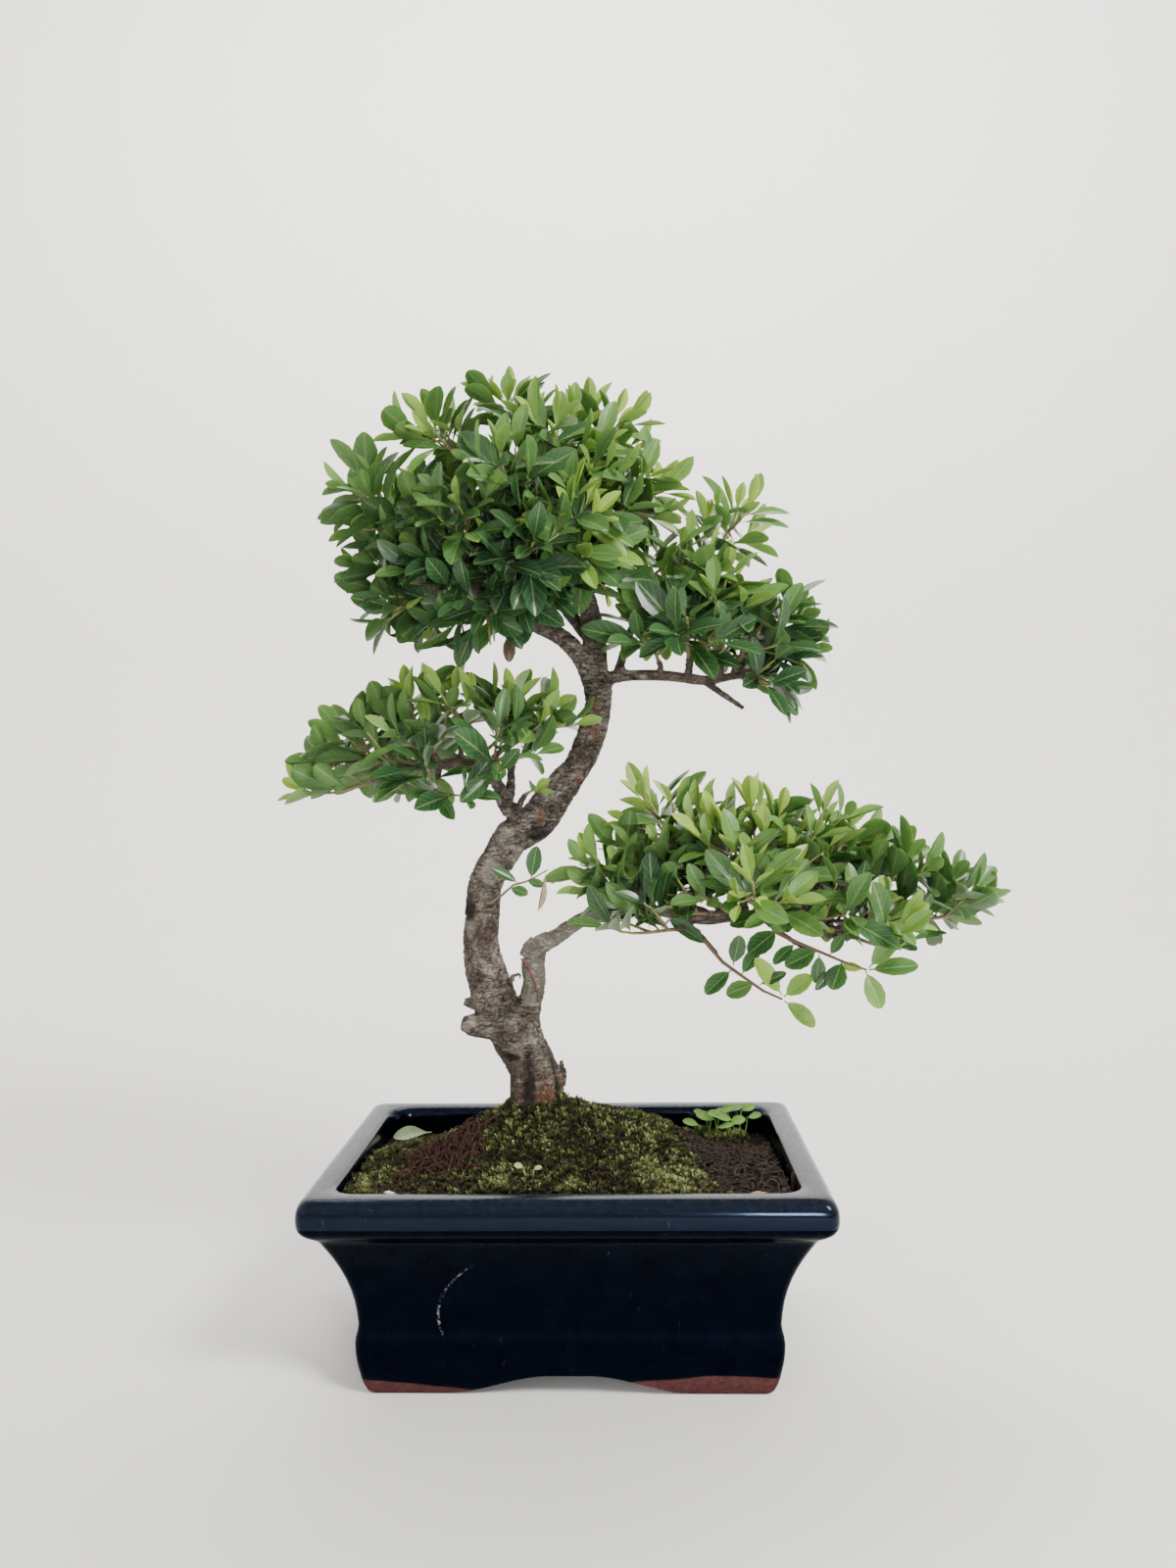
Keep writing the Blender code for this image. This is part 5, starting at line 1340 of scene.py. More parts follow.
# Marks tinted dark are partly dark scars and partly painted shade in pits and under knots.
MARKS = tuple(Mark(*row[:4], MarkKind(row[4]), *row[5:]) for row in (
    (-43.6, 188.6, 4.0, 6.2, "pit", 1.9, "dark", 1.0), (-36.1, 179.2, 6.6, 7.6, "knot", 0.6, "purple", 1.0),
    (-31.5, 175.8, 2.6, 5.0, "bump", 1.3, "dark", 0.9), (-43.5, 181.0, 3.0, 6.0, "stain", 0.0, "pale", 0.7),
    (-39.6, 172.8, 3.0, 2.6, "pit", 0.7, "purple", 0.9), (-41.0, 159.9, 3.6, 6.2, "whorl", 0.45, "purple", 0.6),
    (-26.6, 153.3, 4.2, 8.0, "bump", 0.9, "purple", 0.8), (-34.5, 142.5, 3.4, 3.4, "whorl", 0.35, "purple", 0.35),
    (-28.0, 133.2, 5.4, 5.4, "whorl", 0.55, "purple", 0.55), (-26.1, 124.2, 5.0, 2.6, "pit", 1.2, "dark", 0.85),
    (-46.5, 141.0, 2.0, 2.2, "pit", 0.9, "dark", 0.8), (-43.0, 136.0, 1.8, 1.6, "pit", 0.8, "dark", 0.8),
    (-45.0, 139.0, 5.0, 4.5, "stain", 0.0, "pale", 0.8), (-20.3, 108.0, 1.7, 14.0, "pit", 1.3, "dark", 0.55),
    (-10.5, 106.0, 4.5, 7.0, "stain", 0.0, "rust", 0.7), (-25.6, 213.4, 1.1, 1.1, "pit", 0.5, "dark", 0.8),
    (-22.8, 209.6, 1.0, 0.9, "pit", 0.4, "dark", 0.8), (-14.3, 221.6, 7.5, 4.2, "stain", 0.0, "dark", 0.75),
    (12.5, 277.0, 2.6, 4.5, "stain", 0.0, "rust", 0.65), (11.5, 267.5, 4.8, 3.8, "stain", 0.0, "rust", 0.7),
    (14.0, 263.5, 3.0, 3.0, "stain", 0.0, "rust", 0.5), (6.7, 255.5, 5.0, 5.5, "knot", 0.6, "purple", 0.5),
    (-2.7, 245.3, 2.6, 2.6, "whorl", 0.5, "dark", 0.45), (-0.3, 248.2, 2.0, 2.0, "whorl", 0.4, "dark", 0.4),
    (4.2, 245.2, 2.2, 3.2, "stain", 0.0, "rust", 0.8), (-5.7, 232.0, 5.2, 5.2, "whorl", 0.9, "dark", 0.6),
    (-12.2, 229.1, 2.2, 5.5, "stain", 0.0, "rust", 0.85), (10.4, 284.3, 2.0, 2.0, "pit", 0.4, "dark", 0.4),
    (29.5, 289.8, 1.0, 0.9, "pit", 0.5, "dark", 0.7), (-16.0, 172.0, 3.4, 3.0, "whorl", 0.4, "dark", 0.35),
    (-1.0, 182.5, 1.2, 1.2, "pit", 0.4, "dark", 0.7), (-34.0, 205.0, 5.0, 8.0, "stain", 0.0, "pale", 0.55),
    (-30.0, 222.0, 7.0, 5.0, "stain", 0.0, "pale", 0.45), (-36.0, 170.0, 5.0, 7.0, "whorl", 0.5, "purple", 0.5, True),
    (-30.0, 140.0, 6.0, 7.0, "whorl", 0.6, "dark", 0.5, True),
    (-14.0, 228.0, 4.5, 4.5, "knot", 0.7, "purple", 0.6, True),
    (-36.0, 196.0, 4.0, 6.0, "stain", 0.0, "rust", 0.6, True),
    (-17.0, 112.0, 1.8, 13.0, "pit", 1.2, "dark", 0.5, True),
    (12.0, 268.0, 4.0, 5.0, "whorl", 0.5, "rust", 0.5, True),
))
TINTS = ("pale", "rust", "purple", "dark", "moss", "twig")


@dataclass
class Wood:
    """The bark-covered skeleton: trunk, branches, old knobs and the woody stretch of each twig."""

    voxel: float = 0.62
    crack_depth: float = 0.85
    crack_width: float = 0.13
    root_reach: float = 16.0
    root_heights: tuple[float, float] = (112.0, 134.0)
    deepest: float = -2.2
    highest: float = 1.6
    relief_share: float = 0.8
    eye_distance: float = 300.0
    marks: tuple[Mark, ...] = MARKS

    def draw_route(self, name: str, route: Route) -> bpy.types.Object:
        """Draw one branch as a smooth tapering curve."""
        curve = bpy.data.curves.new(name, "CURVE")
        curve.dimensions = "3D"
        curve.resolution_u = 5
        curve.bevel_depth = 1.0
        curve.bevel_resolution = 6
        curve.use_fill_caps = True
        spline = curve.splines.new("BEZIER")
        spline.bezier_points.add(len(route) - 1)
        for point, (x, y, z, radius) in zip(spline.bezier_points, route):
            point.co = (x, y, z)
            point.radius = radius
            point.handle_left_type = "AUTO"
            point.handle_right_type = "AUTO"
        return link(name, curve)

    def model(self) -> bpy.types.Object:
        """Join the branches into one skin."""
        deselect()
        branches = [self.draw_route("wood_" + name, route) for name, route in ROUTES.items()]
        for branch in branches:
            branch.select_set(True)
        bpy.context.view_layer.objects.active = branches[0]
        bpy.ops.object.convert(target="MESH")
        bpy.ops.object.join()
        wood = bpy.context.object
        wood.name = "bark"
        modify(wood, "REMESH", mode="VOXEL", voxel_size=self.voxel)
        modify(wood, "SMOOTH", factor=0.6, iterations=5)
        return wood

    def relief(self, point: Vector) -> float:
        """Return how far the bark stands out at a point, before its marks."""
        swell = 0.6 * soft_noise(point, 11.0, 1.0) + 0.5 * soft_noise(point, 4.5, 2.0)
        squashed = (point.x * 0.5, point.y * 0.5, point.z * 1.6)
        wrinkle = 0.3 * soft_noise(squashed, 1.9, 3.0)
        fine = 0.2 * soft_noise(point, 1.3, 4.0)
        crack = max(0.0, 1.0 - abs(soft_noise(squashed, 3.2, 11.0)) / self.crack_width)
        low = 1.0 - smooth_step(*self.root_heights, point.z)
        angle = math.atan2(point.y - TRUNK_Y, point.x - TRUNK_X)
        flute = 0.9 * math.sin(5.0 * angle + 0.7) + 0.5 * math.sin(9.0 * angle + 2.0)
        fibre = 0.5 * soft_noise((point.x, point.y, point.z * 0.18), 1.7, 6.0)
        near_foot = math.hypot(point.x - TRUNK_X, point.y - TRUNK_Y) < self.root_reach
        return swell + wrinkle + fine - self.crack_depth * crack + (low * (flute + fibre) if near_foot else 0.0)

    @staticmethod
    def mark_relief(mark: Mark, far: float) -> float:
        """Return a mark's relief at a share of its reach."""
        fade = 1.0 - smooth_step(0.75, 1.05, far)
        if mark.kind is MarkKind.PIT:
            return -mark.relief * (1.0 - smooth_step(0.0, 0.8, far)) + 0.25 * mark.relief * fade
        if mark.kind is MarkKind.BUMP:
            return mark.relief * fade
        if mark.kind is MarkKind.KNOT:
            return mark.relief * (math.sin(math.pi * min(1.0, far)) - 0.6 * (1.0 - smooth_step(0.0, 0.3, far)))
        if mark.kind is MarkKind.WHORL:
            return mark.relief * math.cos(4.6 * math.pi * far) * -fade * (1.0 - 0.3 * far)
        return 0.0

    def mark_centre(self, mark: Mark, tree: BVHTree) -> Vector | None:
        """Return the point of the bark that a mark is centred on."""
        side = 1.0 if mark.back else -1.0
        return tree.ray_cast(Vector((mark.x, side * self.eye_distance, mark.z)), Vector((0.0, -side, 0.0)))[0]

    def carve(self, wood: bpy.types.Object) -> None:
        """Push the bark's relief and marks into the skin, and note their colours."""
        mesh = wood.data
        tree = BVHTree.FromPolygons([vertex.co.copy() for vertex in mesh.vertices],
                                    [tuple(face.vertices) for face in mesh.polygons])
        centres = [(mark, self.mark_centre(mark, tree)) for mark in self.marks]
        centres = [(mark, centre) for mark, centre in centres if centre is not None]
        tints = {name: np.zeros(len(mesh.vertices)) for name in TINTS}
        heights, foot = np.zeros((2, len(mesh.vertices)))
        moved = []
        for index, vertex in enumerate(mesh.vertices):
            point = vertex.co
            rise = self.relief(point)
            for mark, centre in centres:
                gap = point - centre
                if abs(gap.x) > 1.6 * mark.reach_x + 1.0 or abs(gap.z) > 1.4 * mark.reach_z or abs(gap.y) > 9.0:
                    continue
                far = math.sqrt((gap.x / mark.reach_x) ** 2 + (gap.y / (1.6 * mark.reach_x)) ** 2
                                + (gap.z / mark.reach_z) ** 2)
                far += 0.22 * soft_noise(point, 1.8, 9.0)
                if far < 1.1:
                    rise += self.mark_relief(mark, max(0.0, far))
                    if mark.tint:
                        shade = mark.strength * (1.0 - smooth_step(0.55, 1.0, far))
                        tints[mark.tint][index] = max(tints[mark.tint][index], shade)
            heights[index] = rise
            foot[index] = 1.0 - smooth_step(98.0, 132.0, point.z)
            if math.hypot(point.x - TRUNK_X, point.y - TRUNK_Y) < 18.0:
                tints["moss"][index] = 0.55 * (1.0 - smooth_step(100.0, 108.0, point.z)) * (
                    0.5 + 0.5 * soft_noise(point, 3.0, 7.0))
            tints["twig"][index] = 0.55 * smooth_step(24.0, 60.0, abs(point.x))
            if point.x > -22.0 and 146.0 < point.z < 192.0:
                tints["pale"][index] = max(tints["pale"][index], 0.5 * (1.0 - smooth_step(10.0, 50.0, point.x)))
            rise = min(self.highest, max(self.deepest, rise * self.relief_share))
            moved.append(point + vertex.normal * rise * self.room(point))
        mesh.vertices.foreach_set("co", np.array([tuple(point) for point in moved]).ravel())
        # The relief is also kept for the bark's colour, where it paints shade into low places.
        heights = np.clip((heights + 1.4) / 2.8, 0.0, 1.0)
        for name, values in (*tints.items(), ("relief", heights), ("foot", foot)):
            write_value(mesh, name, values)
        mesh.update()
        mesh.shade_smooth()

    @staticmethod
    def room(point: Vector) -> float:
        """Return how much relief the wood has room for: less on thin branches."""
        return 1.0 - 0.62 * max(smooth_step(290.0, 318.0, point.z), smooth_step(-8.0, 8.0, point.x)
                                * (1.0 - smooth_step(195.0, 215.0, point.z)), smooth_step(20.0, 30.0, point.x))

    def build(self) -> None:
        """Build the bark."""
        wood = self.model()
        self.carve(wood)
        settle(wood, [BARK], ["trunk"])


# Foliage


@dataclass(frozen=True)
class Pad:
    """One foliage pad: where its shoots fan out from, what carries them, and each spray's furthest tip."""

    name: str
    shade: float
    focus: Triple
    lift: float
    carriers: tuple[str, ...]
    tips: tuple[Triple, ...]
    fill: int
    fill_lift: float
    more_tips: tuple[Triple, ...]
    lower_edge: tuple[tuple[float, float], ...]

    def is_under(self, point: Vector, slack: float) -> bool:
        """Tell whether a point lies under the pad's lower edge, as the camera sees it."""
        eye_x, eye_y, eye_z = CAMERA_PLACE
        share = (EDGE_PLANE - eye_y) / (point.y - eye_y)
        seen_x = eye_x + (point.x - eye_x) * share
        seen_z = eye_z + (point.z - eye_z) * share
        edge = np.interp(seen_x, [x for x, _ in self.lower_edge], [z for _, z in self.lower_edge])
        return seen_z < edge - slack


CAMERA_PLACE: Triple = (23.6, -524.2, 239.6)
EDGE_PLANE = -10.0
PADS = (
    Pad("crown", 0.04, (-22, 0, 350), 0.25, ("leader", "crown_left", "crown_back"), (
        (-24.2, 0, 427.5), (-63.8, -12, 410.9), (-102.3, -12, 377.9), (-102.9, 5, 343.5),
        (-85.0, -18, 308.0), (-38.9, -38, 301.9), (-44.3, -60, 359.0), (-8.2, -66, 339.7),
        (19.2, -56, 353.0), (49.2, 0, 381.2), (28.0, 12, 416.9), (1.0, -30, 404.8),
        (-80.0, 48, 385.0), (-35.0, 62, 400.0), (18.2, 58, 378.0), (-36.0, 62, 338.0)), 34, 0.5,
        ((8, -36, 327), (-8, -44, 322), (24, -42, 345), (-22, -46, 318), (34, -26, 366), (42, -12, 384), (16, -50, 372),
         (-2, -58, 358), (22, -20, 398), (-24, -58, 384), (-58, -48, 335), (-62, -30, 318), (-78, -30, 350)),
        ((-110, 340), (-99, 332), (-93, 320), (-76, 305), (-59, 300), (-42, 299), (-24, 303), (-7, 309), (10, 315),
         (27, 322), (40, 330))),
    Pad("right", 0.06, (55, 2, 300), 0.35, ("right_up", "right_up_drop", "right_up_sub"), (
        (78.0, 0, 373.3), (72.7, -20, 342.0), (110.0, -5, 317.9), (50.5, -42, 317.9),
        (98.7, -12, 279.0), (82.5, 38, 316.5), (46.0, 40, 345.0)), 2, 0.7,
        ((38, -18, 332), (28, -24, 318), (34, -4, 354), (60, -10, 352), (68, -26, 322), (90, -16, 316),
         (98, -4, 300), (60, 14, 330)),
        ((10, 304), (30, 298), (50, 296), (70, 289), (85, 276), (102, 272), (111, 288), (118, 300))),
    Pad("left", -0.02, (-55, -5, 246), 0.3, ("left_arm", "left_arm_up"), (
        (-109.9, 0, 269.7), (-124.5, -10, 244.0), (-75.6, 10, 292.9), (-56.0, -32, 241.5),
        (1.8, -14, 283.1), (-16.3, -38, 262.1), (-76.0, 40, 265.0)), 2, 0.8,
        ((-90, -12, 268), (-60, -24, 276), (-40, -20, 288)),
        ((-128, 238), (-107, 241), (-90, 239), (-68, 234), (-60, 231), (-42, 233), (-30, 238), (-17, 243), (0, 262),
         (10, 270))),
    Pad("low", 0.1, (85, -10, 182), 0.45, ("low_arm", "low_back", "low_drop_a", "low_drop_b"), (
        (3.2, -5, 216.4), (30.3, 5, 245.0), (9.1, -40, 188.7), (79.3, -5, 242.0), (73.2, -58, 211.2),
        (129.1, 0, 232.1), (155.5, 22, 216.8), (187.5, -12, 195.6), (144.1, -48, 191.1),
        (98.6, -26, 146.1), (130.1, -28, 155.6), (54.0, 46, 219.2), (108.0, 50, 213.7)), 11, 1.3,
        ((20, -24, 214), (46, -30, 214), (66, -24, 232), (98, -22, 232), (112, -10, 240), (150, -14, 218),
         (168, -12, 208), (54, -8, 240), (92, -44, 208), (120, -46, 204), (36, -34, 204)),
        ((-5, 193), (8, 182), (25, 182), (45, 184), (60, 184), (100, 180), (118, 176), (130, 171), (151, 170),
         (176, 178), (189, 189))),
)
SMALL_SHOOTS = {
    "bud_spray": (((-22, -2, 231.0), (-22, -4, 236), (-19, -9, 239), (-14.5, -12, 240.7)), 7.0),
}
Anchors = tuple[Vector, Vector, Vector, Vector]


def bezier(anchors: Anchors, share: float) -> tuple[Vector, Vector]:
    """Return the point and the heading at a share of a four-point curve."""
    a, b, c, d = anchors
    rest = 1.0 - share
    place = a * rest**3 + b * (3 * rest**2 * share) + c * (3 * rest * share**2) + d * share**3
    heading = (b - a) * rest**2 + (c - b) * (2 * rest * share) + (d - c) * share**2
    return place, heading.normalized()


def curve_length(anchors: Anchors) -> float:
    """Return the length of a four-point curve."""
    places = [bezier(anchors, step / 8)[0] for step in range(9)]
    return sum((second - first).length for first, second in zip(places, places[1:]))


def part_of_curve(anchors: Anchors, start: float) -> Anchors:
    """Return the four-point curve that follows another one from a share of it to its end."""
    a, b, c, d = anchors
    ab, bc, cd = a.lerp(b, start), b.lerp(c, start), c.lerp(d, start)
    abc, bcd = ab.lerp(bc, start), bc.lerp(cd, start)
    return abc.lerp(bcd, start), bcd, cd, d


@dataclass(frozen=True)
class GrowthRule:
    """How leafy shoots grow. Down to the skin's gap the values are the CAD sprays' own, so both keep one form."""

    heel_share: float = 0.6
    leaf_reach: float = 11.0
    lifted_above: float = -0.35
    droop: float = -0.1
    shoot_length: float = 30.0
    main_levels: tuple[float, ...] = (1.0, 9.5, 18.5, 26.5)
    side_shoot_levels: tuple[float, ...] = (1.0, 9.0)
    side_levels: tuple[int, ...] = (2, 3, 1, 3, 2)
    side_lengths: tuple[float, ...] = (20.0, 18.0, 15.0, 20.0, 18.0)
    side_angle: float = math.radians(52)
    leaf_length: tuple[float, float] = (13.5, 21.0)
    leaf_spread: tuple[float, float] = (24.0, 72.0)
    sites_to_full_size: float = 5.0
    sky_pull: float = 0.7
    lowest_carrier_x: float = 24.0
    skin_gap: float = 0.3
    fill_tries: int = 4000
    fill_spacing: float = 13.0
    fill_from_carrier: float = 24.0
    fill_reach: tuple[float, float] = (0.62, 0.93)
    low_shade: float = 0.66
    top_light: float = 0.62
    back_shade: float = 0.06
    fill_shade: float = 0.06
    flush_share: float = 0.16
    flush_shade: float = 0.08
    shrink: float = 0.93
    shrink_tries: int = 6
    side_shoots_of_fill: int = 3


RULE = GrowthRule()
LEAF_FORM = {"leaf": (1.1, 0.375), "small": (0.75, 0.52)}  # by form: size, and width for the length


class LeafCut(Enum):
    """The cuts of leaf: fold of its halves, drop of its tip, how far out it is widest, taper of foot and tip."""

    YOUNG = (0.22, -0.03, 1.3, 0.95, 0.72)
    GROWN = (0.14, 0.12, 1.3, 0.85, 0.58)
    OLD = (0.07, 0.17, 1.25, 0.8, 0.55)
    ROUND = (0.1, 0.1, 1.1, 0.6, 0.5)

    def half_width(self, share: float) -> float:
        """Return the blade's width at a share of its length, where 1 is its greatest."""
        if share < 0.12:
            return 0.09
        _, _, outward, foot, tip = self.value
        turn = ((share - 0.1) / 0.9) ** outward
        return max(0.12, math.sin(math.pi * turn) ** (foot if turn < 0.5 else tip))


@dataclass
class LeafSpot:
    """Where one leaf grows and how it looks."""

    base: Vector
    direction: Vector
    normal: Vector
    length: float
    width: float
    cut: LeafCut
    age: float
    dead: float = 0.0

    def turn(self) -> np.ndarray:
        """Return the matrix that turns a unit leaf this way and scales it."""
        return np.array([self.direction.cross(self.normal) * self.width, self.direction * self.length,
                         self.normal * self.length]).T


@dataclass(frozen=True)
class SparseShoot:
    """A shoot whose few leaves stand apart, so that each has its own place.

    Its stem is a row of (x, z) points. Each leaf is (foot x, foot z, end x, end z, width, age plus painted shade).
    """

    depth: float
    radius: float
    stem: tuple[tuple[float, float], ...]
    leaves: tuple[tuple[float, float, float, float, float, float], ...]

    def tube(self) -> Shape:
        """Return the stem."""
        points = [Vector((x, self.depth + 1.5, z)) for x, z in self.stem]
        radii = np.linspace(self.radius, 0.5 * self.radius, len(points))
        return sweep(points, list(radii), 6, age=(1.0, 0.5))

    def spots(self) -> list[LeafSpot]:
        """Return the leaves, turned to the light and a little out of each other's way."""
        found = []
        for number, (foot_x, foot_z, end_x, end_z, width, age) in enumerate(self.leaves):
            depth = self.depth + 1.3 * (number % 4) - 1.5
            foot = Vector((foot_x, self.depth + 1.5, foot_z))
            along = Vector((end_x, depth - 1.5, end_z)) - foot
            facing = Vector((0.3 * math.sin(2.4 * number), -0.8, 0.5))
            facing = (facing - along * facing.dot(along) / along.length_squared).normalized()
            found.append(LeafSpot(foot, along.normalized(), facing, along.length, width, LeafCut.ROUND, age))
        return found


SPARSE_SHOOTS = {
    "low_10": SparseShoot(-22.0, 1.1, (
        (57.5, 176.6), (59.6, 173.6), (65.3, 166.8), (73.3, 160.9), (82.3, 154.5), (90.3, 150.9)), (
        (59.0, 173.9, 43.8, 185.7, 6.8, 0.85), (69.6, 165.5, 72.5, 178.1, 7.4, 0.9),
        (69.1, 163.5, 57.4, 154.2, 7.9, 0.8), (78.9, 157.6, 66.6, 153.4, 7.9, 0.62),
        (90.1, 152.6, 79.1, 168.8, 7.7, 0.2), (90.8, 152.0, 101.9, 161.4, 8.1, 0.32),
        (90.9, 150.3, 104.0, 140.2, 8.1, 0.36), (73.2, 161.4, 80.0, 172.2, 6.5, 0.9),
        (80.5, 157.0, 91.1, 162.9, 4.8, 0.95))),
    "low_11": SparseShoot(-24.0, 1.0, (
        (86.0, 180.4), (93.9, 176.3), (105.5, 171.3), (116.1, 166.7), (125.4, 163.4)), (
        (88.4, 180.4, 75.6, 171.6, 9.6, 0.92), (105.1, 171.6, 91.0, 166.2, 9.2, 0.82),
        (95.8, 174.8, 86.0, 166.8, 5.6, 0.9), (105.6, 170.3, 104.5, 157.8, 6.9, 0.88),
        (115.2, 167.0, 109.9, 156.2, 9.0, 0.85), (110.0, 169.6, 115.2, 178.4, 5.2, 0.7),
        (113.6, 165.6, 103.7, 155.5, 4.4, 0.92), (124.6, 163.8, 114.6, 165.3, 4.3, 0.15),
        (126.4, 164.2, 137.8, 179.2, 7.8, 0.42), (126.3, 163.4, 146.2, 166.0, 8.3, 0.62),
        (125.0, 163.0, 130.8, 147.4, 8.3, 0.38))),
    "trunk_spray": SparseShoot(-13.0, 0.7, (
        (-33.0, 192.6), (-29.1, 195.1), (-23.9, 199.6), (-18.7, 200.9), (-14.8, 202.7), (-9.0, 206.0)), (
        (-16.3, 202.0, -13.5, 216.1, 7.0, 0.82), (-21.6, 200.4, -32.7, 207.4, 4.9, 0.85),
        (-25.6, 198.4, -17.6, 195.9, 5.0, 0.86), (-18.2, 201.2, -10.6, 199.5, 4.5, 0.8))),
}


DEAD_LEAF = LeafSpot(Vector((-23.6, -22.0, 307.5)), Vector((0.0, -0.1, -1.0)).normalized(), Vector((0.2, -1.0, 0.1)),
                     12.5, 5.4, LeafCut.ROUND, 0.9, 1.0)
DEAD_LEAF_SPRAY = "crown_06"


def model_leaf(cut: LeafCut) -> Shape:
    """Model one leaf of unit length and unit width along +Y, with its stalk, midrib channel and toothed edge.

    Args:
        cut: which cut of leaf.

    Returns:
        The closed thin leaf, with its underside marked.
    """
    fold, drop = cut.value[:2]
    shares = (0.0, 0.11, 0.19, 0.31, 0.45, 0.58, 0.7, 0.81, 0.9, 0.965, 1.0)
    stations = [(share, cut.half_width(share)) for share in shares]
    rows = len(stations) - 1
    thickness = 0.016
    bench = Bench("leaf_" + cut.name.lower(), "grid", x_subdivisions=4, y_subdivisions=rows, size=1.0)
    bpy.ops.mesh.primitive_grid_add(x_subdivisions=2, y_subdivisions=rows, size=1.0, location=(0, 0, -0.2))
    bpy.ops.mesh.flip_normals()
    bench.pick(lambda point: point.z < -0.1 and abs(point.x) > 0.4)
    bench.move(z=0.2)
    bench.pick(lambda point: point.z < -0.1)
    bench.move(z=0.2 - thickness)
    for reach in (0.25, 0.5):
        bench.pick(lambda point, reach=reach: abs(abs(point.x) - reach) < 0.01)
        bench.move(z=fold * reach)
    for row, (share, width) in enumerate(stations):
        here = row / rows - 0.5
        bench.pick(lambda point, here=here: abs(point.y - here) < 0.01)
        tooth = 0.025 * (-1) ** row if 0.3 < share < 0.95 else 0.0
        bench.scale(width + tooth, 1.0, width, (0.0, here, 0.0))
        bench.move(y=share - here + 2.0, z=-drop * share**2 + 0.25 * abs(drop) * share)
    bench.pick_all()
    bench.move(y=-2.0)
    bpy.ops.mesh.remove_doubles(threshold=0.0005)
    leaf = bench.done()
    uv = leaf.data.uv_layers.new(name="shape")
    for face in leaf.data.polygons:
        for corner in face.loop_indices:
            point = leaf.data.vertices[leaf.data.loops[corner].vertex_index].co
            width = np.interp(point.y, [share for share, _ in stations], [width for _, width in stations])
            uv.data[corner].uv = (0.5 + 0.5 * point.x / max(0.05, width), point.y)
    points = [vertex.co.copy() for vertex in leaf.data.vertices]
    lowest = {}
    for index, point in enumerate(points):
        lowest.setdefault(round(point.y, 3), []).append(index)
    under = np.zeros(len(points))
    for members in lowest.values():
        middle = [index for index in members if abs(points[index].x) < 0.01]
        if len(middle) > 1:
            under[min(middle, key=lambda index: points[index].z)] = 1.0
    shape = Shape.from_piece(leaf)
    shape.values["under"] = under
    return shape


